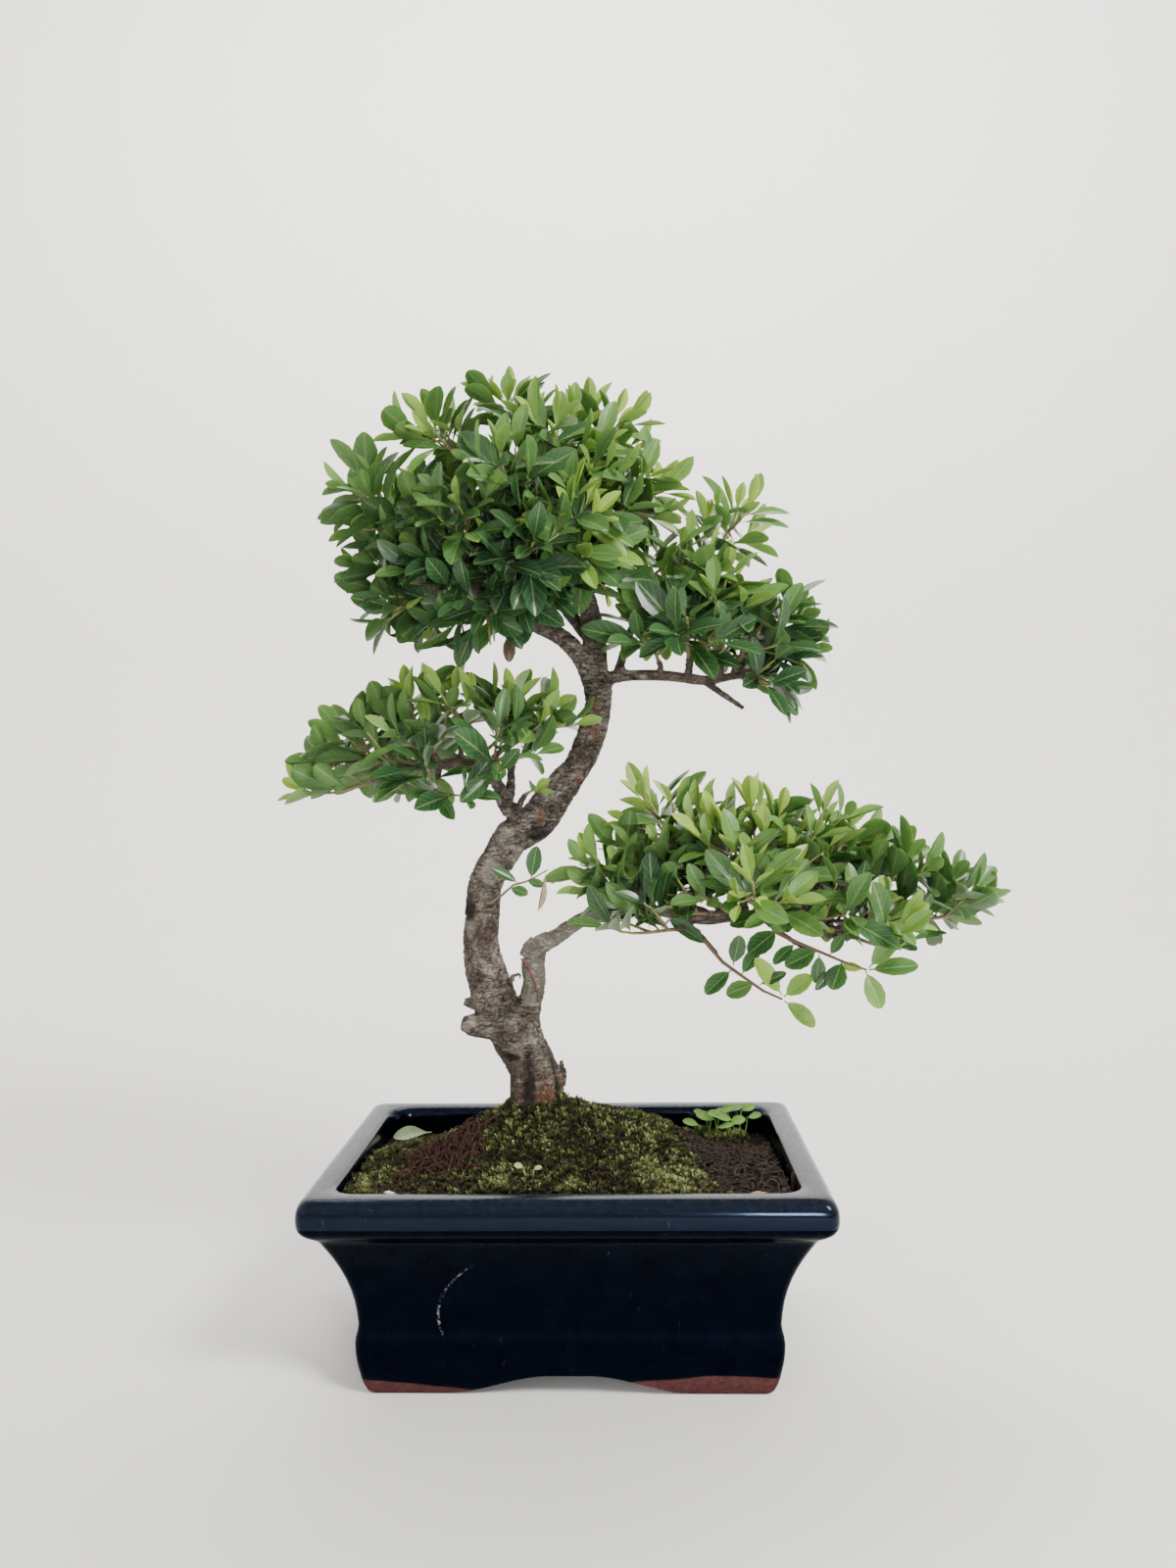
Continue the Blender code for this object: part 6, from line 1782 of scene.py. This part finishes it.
class Shoot:
    """A leafy stem: its curve, and how far from its tip its CAD leaves leave it."""

    def __init__(
        self, anchors: Anchors, levels: Iterable[float], label: str, form: str = "leaf", shade: float = 0.05
    ) -> None:
        """Lay out a shoot.

        Args:
            anchors: its four-point curve, from its foot to its tip.
            levels: distances from the tip at which the CAD spray's leaves leave it.
            label: what its random draws are seeded by.
            form: which size of leaf it bears.
            shade: how much darker its leaves are than those of a shoot in the sun.
        """
        self.anchors = anchors
        self.label = label
        self.form = form
        self.shade = shade
        self.length = curve_length(anchors)
        self.levels = [level for level in levels if level < 0.93 * self.length]
        a, b, c, d = anchors
        bend = (b - a).cross(d - c)
        self.guide = bend.normalized() if bend.length > 1e-3 else steady_across((d - a).normalized())

    def at(self, from_tip: float) -> tuple[Vector, Vector, Vector, Vector]:
        """Return the place, heading and the two directions across the stem, at a distance from its tip."""
        place, heading = bezier(self.anchors, max(0.0, 1.0 - from_tip / self.length))
        across = square_to(self.guide, heading)
        return place, heading, across, heading.cross(across)

    def outward(self, from_tip: float, azimuth: float) -> Vector:
        """Return the direction square to the stem at an azimuth."""
        _, _, across, third = self.at(from_tip)
        return across * math.cos(azimuth) + third * math.sin(azimuth)

    def side_shoot(self, number: int) -> Shoot:
        """Return a side shoot, which curves out of this stem towards the light."""
        draw = random.Random(f"{self.label}-side-{number}")
        level = self.levels[min(RULE.side_levels[number], len(self.levels) - 1)]
        place, heading, _, _ = self.at(level)
        outward = self.outward(level, GOLDEN_ANGLE * (number + 1) + draw.uniform(-0.4, 0.4))
        leave = heading * math.cos(RULE.side_angle) + outward * math.sin(RULE.side_angle)
        length = RULE.side_lengths[number] * draw.uniform(0.9, 1.1)
        middle = place + leave * 0.55 * length
        end = middle + (leave + heading * 0.35 + UP * 0.25).normalized() * 0.45 * length
        anchors = (place, place.lerp(middle, 0.66), end.lerp(middle, 0.66), end)
        return Shoot(anchors, RULE.side_shoot_levels, f"{self.label}-{number}", self.form, self.shade + 0.1)

    def leaf(self, site: int, from_tip: float, seed: str = "leaf") -> LeafSpot:
        """Return one leaf by its number from the tip.

        Args:
            site: the leaf's number, which sets its azimuth, spread and size.
            from_tip: how far from the tip it leaves the stem.
            seed: which series of random draws it belongs to.

        Returns:
            The leaf's place and look.
        """
        draw = random.Random(f"{self.label}-{seed}-{site}")
        base, heading, _, _ = self.at(from_tip)
        grown = min(1.0, site / RULE.sites_to_full_size)
        spread = RULE.leaf_spread[0] + (RULE.leaf_spread[1] - RULE.leaf_spread[0]) * grown + draw.uniform(-8, 8)
        spread = math.radians(spread)
        outward = self.outward(from_tip, GOLDEN_ANGLE * site + draw.uniform(-0.25, 0.25))
        direction = (heading * math.cos(spread) + outward * math.sin(spread)).normalized()
        normal = heading * math.sin(spread) - outward * math.cos(spread) + UP * RULE.sky_pull
        normal = square_to(normal, direction)
        size, width_share = LEAF_FORM[self.form]
        low, high = RULE.leaf_length
        length = (low + (high - low) * grown) * draw.uniform(0.82, 1.2) * size
        # The colour value is how old the leaf is plus painted shade, darker for shoots low in, inside or at the back of
        # a pad.
        age = self.shade + (0.045 if self.shade > 0.25 else 0.08) * site + draw.uniform(-0.09, 0.1)
        cut = LeafCut.YOUNG if site < 4 and age < 0.4 else LeafCut.GROWN if site < 8 else LeafCut.OLD
        if self.form != "leaf" and cut is not LeafCut.YOUNG:
            cut = LeafCut.ROUND
        if age > 0.5:
            length *= 1.1
        width = length * width_share * {LeafCut.YOUNG: 0.9, LeafCut.OLD: 1.1}.get(cut, 1.0)
        return LeafSpot(base, direction, normal, length, width, cut, age)

    def leaves(self, full: bool) -> list[LeafSpot]:
        """Return the shoot's leaves: those of its CAD sites and, on a full shoot, some more between them."""
        spots = []
        for rank, level in enumerate(self.levels):
            for turn in range(3):
                shift = 0.9 * turn if rank == 0 else 2.6 * (turn - 1)
                spots.append(self.leaf(3 * rank + turn, level + shift))
        if full and self.form == "leaf":
            for number, level in enumerate(self.levels[1:]):
                spots.append(self.leaf(3 * number + 4, level - 4.0, "more"))
        return spots

    def stem(self, radii: tuple[float, float], points: int = 7) -> Shape:
        """Return the stem's tube, with its age from old at its foot to young at its tip."""
        middle = [self.at(self.length * (1.0 - step / (points - 1)))[0] for step in range(points)]
        widths = [radii[0] + (radii[1] - radii[0]) * step / (points - 1) for step in range(points)]
        return sweep(middle, widths, 6, age=(0.75, 0.0))


class Twig:
    """One spray's twig: a woody stretch and the leafy shoot beyond it."""

    def __init__(
        self, name: str, anchors: Anchors, leafy_length: float, form: str = "leaf", shade: float = 0.05
    ) -> None:
        """Split a twig's curve into wood and leafy shoot.

        Args:
            name: the CAD node that the spray stands for.
            anchors: the whole twig's four-point curve.
            leafy_length: how much of it bears leaves.
            form: which size of leaf it bears.
            shade: how much darker its leaves are than those of a shoot in the sun.
        """
        self.name = name
        self.anchors = anchors
        self.cap_share = max(0.3, 1.0 - leafy_length / curve_length(anchors))
        place, heading = bezier(anchors, self.cap_share)
        _, b, c, d = part_of_curve(anchors, self.cap_share)
        gap = heading * RULE.skin_gap
        self.shoot = Shoot((place + gap, b + gap, c, d), RULE.main_levels, name, form, shade)

    def wood(self) -> Shape:
        """Return the woody stretch, slightly crooked, with its end inside the leafy shoot."""
        draw = random.Random(self.name + "-wood")
        middle = []
        for step in range(9):
            share = self.cap_share * step / 8
            place, heading = bezier(self.anchors, share)
            sway = steady_across(heading) * draw.uniform(-0.5, 0.5) if 0 < step < 8 else Vector()
            middle.append(place + sway)
        middle.append(self.shoot.at(self.shoot.length - 1.5)[0])
        radii = [1.75 - 0.07 * step + draw.uniform(-0.12, 0.16) for step in range(9)] + [0.95]
        return sweep(middle, radii, 8)


class Crowding:
    """Remembers where leaves stand, so that further ones keep off them and off the wood."""

    def __init__(self) -> None:
        """Start with no leaves."""
        self.cell = 3.0
        self.cells: dict[tuple[int, int, int], list[Vector]] = {}
        self.wood = [(Vector(first[:3]), Vector(second[:3]), max(first[3], second[3]))
                     for route in ROUTES.values() for first, second in zip(route, route[1:])]

    @staticmethod
    def samples(spot: LeafSpot) -> list[Vector]:
        """Return three points along a leaf."""
        return [spot.base + spot.direction * spot.length * share for share in (0.4, 0.65, 0.9)]

    def key(self, point: Vector) -> tuple[int, int, int]:
        """Return the cell that a point lies in."""
        return (math.floor(point.x / self.cell), math.floor(point.y / self.cell), math.floor(point.z / self.cell))

    def in_wood(self, spot: LeafSpot) -> bool:
        """Tell whether a leaf runs into a branch."""
        for point in self.samples(spot):
            for first, second, radius in self.wood:
                along = second - first
                share = min(1.0, max(0.0, (point - first).dot(along) / along.length_squared))
                if (point - first - along * share).length < radius + 1.0:
                    return True
        return False

    def is_free(self, spot: LeafSpot, room: float) -> bool:
        """Tell whether a leaf keeps a distance from all others."""
        for point in self.samples(spot):
            x, y, z = self.key(point)
            for near in [(x + i, y + j, z + k) for i in (-1, 0, 1) for j in (-1, 0, 1) for k in (-1, 0, 1)]:
                if any((other - point).length < room for other in self.cells.get(near, ())):
                    return False
        return True

    def add(self, spot: LeafSpot) -> None:
        """Remember a leaf."""
        for point in self.samples(spot):
            self.cells.setdefault(self.key(point), []).append(point)


@dataclass
class Foliage:
    """All leafy sprays: the CAD sprays' own shoots and the ones that fill the pads between them."""

    main_radii: tuple[float, float] = (0.95, 0.5)
    side_radii: tuple[float, float] = (0.72, 0.42)
    leaf_room: float = 2.9

    def __post_init__(self) -> None:
        """Model the leaves that are copied."""
        self.cuts = {cut: model_leaf(cut) for cut in LeafCut}
        self.crowding = Crowding()
        self.low, self.high = PLACING.limits()
        self.woody = Pile((*TINTS, "relief", "foot"))
        self.leaf_count = 0

    def nearest_carrier(self, pad: Pad, heel: Vector) -> Vector:
        """Return the point of a pad's branches that lies nearest to where a twig should leave them."""
        best = None
        for name in pad.carriers:
            route = [Vector(point[:3]) for point in ROUTES[name]]
            for first, second in zip(route[1:], route[2:]):
                for step in range(5):
                    place = first.lerp(second, step / 4)
                    if pad.name == "low" and place.x < RULE.lowest_carrier_x:
                        continue
                    if best is None or (place - heel).length < (best - heel).length:
                        best = place
        return best

    def shoot_anchors(self, pad: Pad, tip: Vector, lift: float | None = None) -> Anchors:
        """Return the four-point curve of a spray, from inside the branch that carries it to its last leaf.

        Args:
            pad: the pad that it belongs to.
            tip: where its last leaf ends.
            lift: how far its tip bends upwards, where it isn't the CAD spray's own.

        Returns:
            The curve's four points.
        """
        focus = Vector(pad.focus)
        outward = (tip - focus).normalized()
        if lift is None:
            lift = pad.lift if outward.z > RULE.lifted_above else RULE.droop
        heading = (outward + UP * lift).normalized()
        heel = tip.lerp(focus, RULE.heel_share)
        root = self.nearest_carrier(pad, heel)
        end = tip - heading * RULE.leaf_reach
        length = (end - root).length
        leave = ((heel - root).normalized() + (end - root).normalized()).normalized()
        return root, root + leave * 0.3 * length, end - heading * 0.35 * length, end

    def fill_tips(self, pad: Pad) -> list[tuple[int, Vector]]:
        """Return the tips of the shoots that fill a pad, each with the number of its nearest CAD spray."""
        draw = random.Random(pad.name + "-fill")
        focus = Vector(pad.focus)
        tips = [Vector(tip) for tip in pad.tips]
        chosen: list[tuple[int, Vector]] = []
        for _ in range(RULE.fill_tries):
            if len(chosen) == pad.fill:
                break
            first = draw.randrange(len(tips))
            around = sorted(range(len(tips)), key=lambda index: (tips[index] - tips[first]).length)[1:5]
            second, third = draw.sample(around, 2)
            shares = [draw.uniform(0.2, 1.0) for _ in range(3)]
            total = sum(shares)
            tip = (tips[first] * shares[0] + tips[second] * shares[1] + tips[third] * shares[2]) / total
            reach = sum(share * (tips[index] - focus).length
                        for share, index in zip(shares, (first, second, third))) / total
            tip = focus + (tip - focus).normalized() * reach * draw.uniform(*RULE.fill_reach)
            if any((tip - other).length < RULE.fill_spacing for other in tips + [place for _, place in chosen]):
                continue
            near = (tip - self.nearest_carrier(pad, tip)).length < RULE.fill_from_carrier
            if near or pad.is_under(tip, 0.0):
                continue
            chosen.append((first, tip))
        for place in pad.more_tips:
            tip = Vector(place)
            chosen.append((min(range(len(tips)), key=lambda index: (tips[index] - tip).length), tip))
        return chosen

    @staticmethod
    def shade(pad: Pad, tip: Vector) -> float:
        """Return how dark a shoot's leaves are: more when low in its pad or at its back, less on a late flush."""
        heights = [place[2] for place in pad.tips]
        height = (tip.z - min(heights)) / (max(heights) - min(heights))
        shade = (RULE.low_shade - RULE.top_light * smooth_step(0.1, 0.95, height)
                 + RULE.back_shade * smooth_step(0.0, 50.0, tip.y) + pad.shade)
        draw = random.Random(f"{tip.x:.1f}-{tip.z:.1f}-flush")
        return RULE.flush_shade if draw.random() < RULE.flush_share else max(0.0, shade + draw.uniform(-0.12, 0.1))

    def put_leaf(self, pile: Pile, spot: LeafSpot) -> None:
        """Copy a leaf into a pile, made smaller where it would leave the CAD box."""
        shape = self.cuts[spot.cut]
        for _ in range(RULE.shrink_tries):
            points = shape.points @ spot.turn().T + np.array(spot.base)
            if (points > np.array(self.low) + 0.1).all() and (points < np.array(self.high) - 0.1).all():
                pile.add(shape, spot.turn(), spot.base, age=min(1.0, max(0.0, spot.age)), dead=spot.dead)
                self.crowding.add(spot)
                self.leaf_count += 1
                return
            spot.length *= RULE.shrink
            spot.width *= RULE.shrink

    def grow(self, pile: Pile, twig: Twig, own: bool, pad: Pad | None = None) -> None:
        """Grow a twig's stems and leaves into its spray's pile, and its wood into the woody one.

        Args:
            pile: the spray's pile.
            twig: the twig.
            own: whether it is the CAD spray's own shoot.
            pad: the pad whose lower edge the leaves keep above.
        """
        shoots = [twig.shoot] + [twig.shoot.side_shoot(number) for number in range(len(RULE.side_levels))]
        if twig.shoot.form == "small":
            shoots = shoots[:1]
        elif not own:
            shoots = shoots[:1 + RULE.side_shoots_of_fill]
        for rank, shoot in enumerate(shoots):
            radii = self.main_radii if rank == 0 else self.side_radii
            if rank and pad and pad.is_under(shoot.anchors[3], 0.0):
                continue
            pile.add(shoot.stem(radii), slot=STEM_SLOT)
            for index, spot in enumerate(shoot.leaves(own)):
                sure = own and rank == 0 and index < 3
                end = spot.base + spot.direction * spot.length
                if self.crowding.in_wood(spot) or (not sure and pad and pad.is_under(end, 2.0)):
                    continue
                if sure or self.crowding.is_free(spot, self.leaf_room):
                    self.put_leaf(pile, spot)
        self.woody.add(twig.wood(), twig=0.7, relief=0.55)

    def grow_sparse(self, pile: Pile, shoot: SparseShoot) -> None:
        """Grow a shoot with placed leaves into its spray's pile."""
        pile.add(shoot.tube(), slot=STEM_SLOT)
        for spot in shoot.spots():
            self.put_leaf(pile, spot)

    def build(self) -> None:
        """Build every spray and the woody twigs that carry them."""
        sprays: list[tuple[str, Pile]] = []
        fills: list[tuple[Pile, Twig, Pad]] = []
        for pad in PADS:
            piles = []
            for index, tip in enumerate(pad.tips):
                name = f"{pad.name}_{index + 1:02d}"
                pile = Pile(LEAF_VALUES)
                piles.append(pile)
                sprays.append((name, pile))
                if name in SPARSE_SHOOTS:
                    self.grow_sparse(pile, SPARSE_SHOOTS[name])
                    continue
                twig = Twig(name, self.shoot_anchors(pad, Vector(tip)), RULE.shoot_length, "leaf",
                            self.shade(pad, Vector(tip)))
                self.grow(pile, twig, True, pad)
                if name == DEAD_LEAF_SPRAY:
                    self.put_leaf(pile, DEAD_LEAF)
            for number, (index, tip) in enumerate(self.fill_tips(pad)):
                anchors = self.shoot_anchors(pad, tip, pad.fill_lift)
                label = f"{pad.name}_fill_{number}"
                twig = Twig(label, anchors, RULE.shoot_length, "leaf", RULE.fill_shade + self.shade(pad, tip))
                fills.append((piles[index], twig, pad))
        trunk_shoot = Pile(LEAF_VALUES)
        self.grow_sparse(trunk_shoot, SPARSE_SHOOTS["trunk_spray"])
        sprays.append(("trunk_spray", trunk_shoot))
        for name, (anchors, length) in SMALL_SHOOTS.items():
            twig = Twig(name, tuple(Vector(anchor) for anchor in anchors), length, "small", 0.35)
            pile = Pile(LEAF_VALUES)
            self.grow(pile, twig, True)
            sprays.append((name, pile))
        for pile, twig, pad in fills:
            self.grow(pile, twig, False, pad)
        for name, pile in sprays:
            settle(pile.build(name + "_leaves"), [LEAF, STEM], [name])
        settle(self.woody.build("woody_twigs", 80.0), [BARK], ["trunk"])
        LOG.info("leaves: %d", self.leaf_count)


# Small things


@dataclass
class SmallThings:
    """The few small pieces on and round the tree."""

    moss: MossBed
    cuts: dict[LeafCut, Shape]

    def lay_leaf(self, name: str, spot: LeafSpot, finish: Finish, node: str) -> None:
        """Build a single leaf as its own piece."""
        pile = Pile(LEAF_VALUES)
        pile.add(self.cuts[spot.cut], spot.turn(), spot.base, age=spot.age, dead=spot.dead)
        settle(pile.build(name), [finish], [node])

    def pebble(self, name: str, place: tuple[float, float], size: Triple, finish: Finish) -> None:
        """Build one worn stone."""
        bench = Bench(name + "_stone", "ico_sphere", subdivisions=4, radius=1.0)
        bench.scale(*size)
        bench.pick(lambda point: point.z > 0.3 * size[2] and point.x > 0)
        bench.scale(0.86, 0.9, 0.8)
        stone = bench.done()
        for vertex in stone.data.vertices:
            vertex.co += vertex.normal * 0.3 * soft_noise(vertex.co, 2.2, 3.0)
        ground = self.moss.ground.rough_height(*place)
        stone.data.transform(Matrix.Translation((place[0], place[1], ground + 0.9 * size[2])))
        stone.data.shade_smooth()
        settle(stone, [finish], [name])

    def build(self) -> None:
        """Build all of them."""
        ground = self.moss.ground
        self.pebble("pebble_white", (-70.5, -55.5), (3.4, 2.6, 2.0), PALE_STONE)
        self.pebble("pebble_orange", (76.5, -55.5), (5.0, 2.6, 2.0), ORANGE_STONE)
        fallen = LeafSpot(Vector((-69.5, 42.0, ground.height(-70, 42) + 3.2)), Vector((-1.0, 0.0, -0.06)).normalized(),
                          Vector((0.0, -0.55, 0.83)), 18.5, 8.4, LeafCut.GROWN, 0.32)
        self.lay_leaf("fallen_leaf_skin", fallen, FALLEN, "fallen_leaf")
        dried = LeafSpot(Vector((-9.4, -15.0, 206.4)), Vector((-0.24, -0.05, -0.97)).normalized(),
                         Vector((0.8, -0.6, -0.2)).normalized(), 18.0, 3.4, LeafCut.YOUNG, 0.5)
        self.lay_leaf("dried_leaf_skin", dried, DRIED, "dried_leaf")
        twig = [Vector((-21.6, -6.6, 167.0)), Vector((-18.9, -7.4, 164.6)), Vector((-17.4, -7.2, 160.8)),
                Vector((-15.4, -7.2, 156.4)), Vector((-14.6, -6.8, 152.6)), Vector((-14.2, -6.4, 149.8))]
        pile = Pile(())
        pile.add(sweep(twig, (0.35, 0.5, 0.45, 0.5, 0.4, 0.25), 7))
        settle(pile.build("caught_twig_bark"), [CAUGHT], ["caught_twig"])
        self.plantlet("seedlings", SEEDLING, 0.62, (
            (60.0, 41.0, -1.0, 6.0, 8.2), (62.5, 46.0, 1.0, 9.5, 9.4), (65.0, 40.0, 1.0, 5.5, 8.0),
            (68.0, 44.5, -1.0, 8.5, 9.8), (71.0, 41.0, 1.0, 6.5, 8.6), (73.5, 46.0, -1.0, 10.5, 10.4),
            (76.0, 42.0, -1.0, 7.5, 8.4), (77.0, 46.0, 1.0, 11.9, 7.6), (79.5, 43.0, 1.0, 9.1, 7.2),
            (66.5, 48.0, 1.0, 11.9, 7.8), (71.0, 48.0, 1.0, 12.9, 8.4), (64.0, 50.0, -1.0, 11.3, 7.0)))
        self.plantlet("sprout", SPROUT, 0.8, ((-16.2, -46.0, -1.0, 4.6, 4.0), (-15.4, -46.0, 1.0, 3.4, 3.6)))

    def plantlet(self, node: str, finish: Finish, roundness: float,
                 leaves: tuple[tuple[float, float, float, float, float], ...]) -> None:
        """Build a cluster of stalked leaves that turn their faces to the light.

        Args:
            node: the CAD node that it stands for.
            finish: the leaves' finish.
            roundness: how wide a leaf is for its length.
            leaves: each leaf's foot x and y, the side that it leans to, its stalk's height and its length.
        """
        pile = Pile(LEAF_VALUES)
        for number, (x, y, side, rise, length) in enumerate(leaves):
            start = Vector((x, y, self.moss.height(x, y) - 1.0))
            top = start + Vector((1.6 * side, -1.0, rise))
            middle = [start.lerp(top, share) + Vector((0.5 * side, 0.0, 0.0)) * math.sin(math.pi * share)
                      for share in (0.0, 0.35, 0.7, 1.0)]
            pile.add(sweep(middle, (0.4, 0.38, 0.35, 0.3), 5, age=(0.3, 0.1)), slot=STEM_SLOT)
            along = Vector((side, 0.5 * math.sin(2.1 * number), 0.35)).normalized()
            facing = square_to(Vector((0.35 * math.sin(3.7 * number), -0.42, 0.86)), along)
            spot = LeafSpot(top, along, facing, length, roundness * length, LeafCut.ROUND, 0.1)
            pile.add(self.cuts[spot.cut], spot.turn(), spot.base, age=spot.age)
        settle(pile.build(node + "_leaves"), [finish, finish], [node])


# Studio


@dataclass(frozen=True)
class Studio:
    """Pale sweep, soft lights and the camera, placed as in the photograph."""

    camera_place: Triple = CAMERA_PLACE
    yaw: float = 0.0287
    pitch: float = 0.0065
    roll: float = -0.0116
    focal_share: float = 1209.7 / 1600.0
    sensor: float = 36.0

    def build_camera(self) -> None:
        """Create the scene's camera."""
        data = bpy.data.cameras.new("camera")
        data.sensor_width = self.sensor
        data.sensor_fit = "AUTO"
        data.lens = self.focal_share * self.sensor
        data.clip_start = 0.01
        camera = link("camera", data)
        place = PLACING.matrix() @ Vector(self.camera_place)
        turn = (Matrix.Rotation(self.yaw, 4, "Z") @ Matrix.Rotation(math.pi / 2 + self.pitch, 4, "X")
                @ Matrix.Rotation(self.roll, 4, "Z"))
        camera.matrix_world = Matrix.Translation(place) @ turn
        bpy.context.scene.camera = camera

    def build_sweep(self) -> None:
        """Model the pale floor that curves up into a wall all round."""
        floor, bend, steps = 1.7, 0.6, 8
        bench = Bench("studio_sweep", "circle", vertices=96, radius=floor, fill_type="NGON", location=(0, 0, 0))
        reach, height = floor, 0.0
        for step in range(1, steps + 1):
            angle = math.radians(90) * step / steps
            next_reach, next_height = floor + bend * math.sin(angle), bend * (1 - math.cos(angle))
            bpy.ops.mesh.select_mode(type="EDGE")
            bench.pick_all()
            bpy.ops.mesh.region_to_loop()
            bpy.ops.mesh.extrude_edges_move(TRANSFORM_OT_translate={"value": (0, 0, next_height - height)})
            bench.scale(next_reach / reach, next_reach / reach, 1.0)
            reach, height = next_reach, next_height
        bpy.ops.mesh.extrude_edges_move(TRANSFORM_OT_translate={"value": (0, 0, 2.4)})
        sweep_piece = bench.done()
        sweep_piece.data.shade_smooth()
        sweep_piece.data.transform(Matrix.Translation((0, 0, -0.0001)))
        paint = PlainMottle("pale_matt_studio_board", "#ecebe9", "#eeedeb", 60.0, 0.9)
        sweep_piece.data.materials.append(paint.material())

    @staticmethod
    def add_light(name: str, place: Triple, size: float, watts: float, colour: str,
                  target: Triple = (0.0, 0.0, 0.22)) -> None:
        """Add a soft square light, aimed at the tree's middle where no other target is given."""
        data = bpy.data.lights.new(name, "AREA")
        data.size = size
        data.energy = watts
        data.color = linear(colour)[:3]
        light = link(name, data)
        aim = Vector(target) - Vector(place)
        light.matrix_world = Matrix.Translation(place) @ aim.to_track_quat("-Z", "Y").to_matrix().to_4x4()

    def build(self) -> None:
        """Set up camera, sweep and lights."""
        self.build_camera()
        self.build_sweep()
        self.add_light("window", (0.8, -0.8, 1.1), 0.4, 30.0, "#fffdf8")
        self.add_light("pane", (0.17, -0.8, 0.2), 0.12, 3.0, "#ffffff")
        self.add_light("wall_wash", (0.0, 0.9, 2.1), 1.4, 85.0, "#fffdfa", (0.0, 2.3, 0.8))
        self.add_light("fill", (-1.2, -0.9, 0.8), 1.0, 3.0, "#eef3ff")
        world = bpy.data.worlds.new("studio_air")
        world.use_nodes = True
        background = world.node_tree.nodes["Background"]
        background.inputs["Color"].default_value = linear("#e4e4e6")
        background.inputs["Strength"].default_value = 0.3
        bpy.context.scene.world = world


def dress_screens() -> None:
    """Give the CAD drain screens their moulded plastic."""
    for name in ("drain_mesh_left", "drain_mesh_right"):
        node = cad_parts[name]
        node.data.materials.clear()
        node.data.materials.append(SCREEN.material())
        LOG.info("%s: dressed", name)


def main() -> None:
    """Build the bonsai's look."""
    logging.basicConfig(level=logging.INFO, format="%(name)s %(message)s")
    Studio().build()
    GlazedPot().build()
    ground = Ground()
    ground.build()
    ground.scatter_crumbs()
    ground.lay_roots()
    moss = MossBed(ground)
    moss.build()
    Wood().build()
    foliage = Foliage()
    foliage.build()
    SmallThings(moss, foliage.cuts).build()
    dress_screens()


if __name__ == "__main__":
    main()
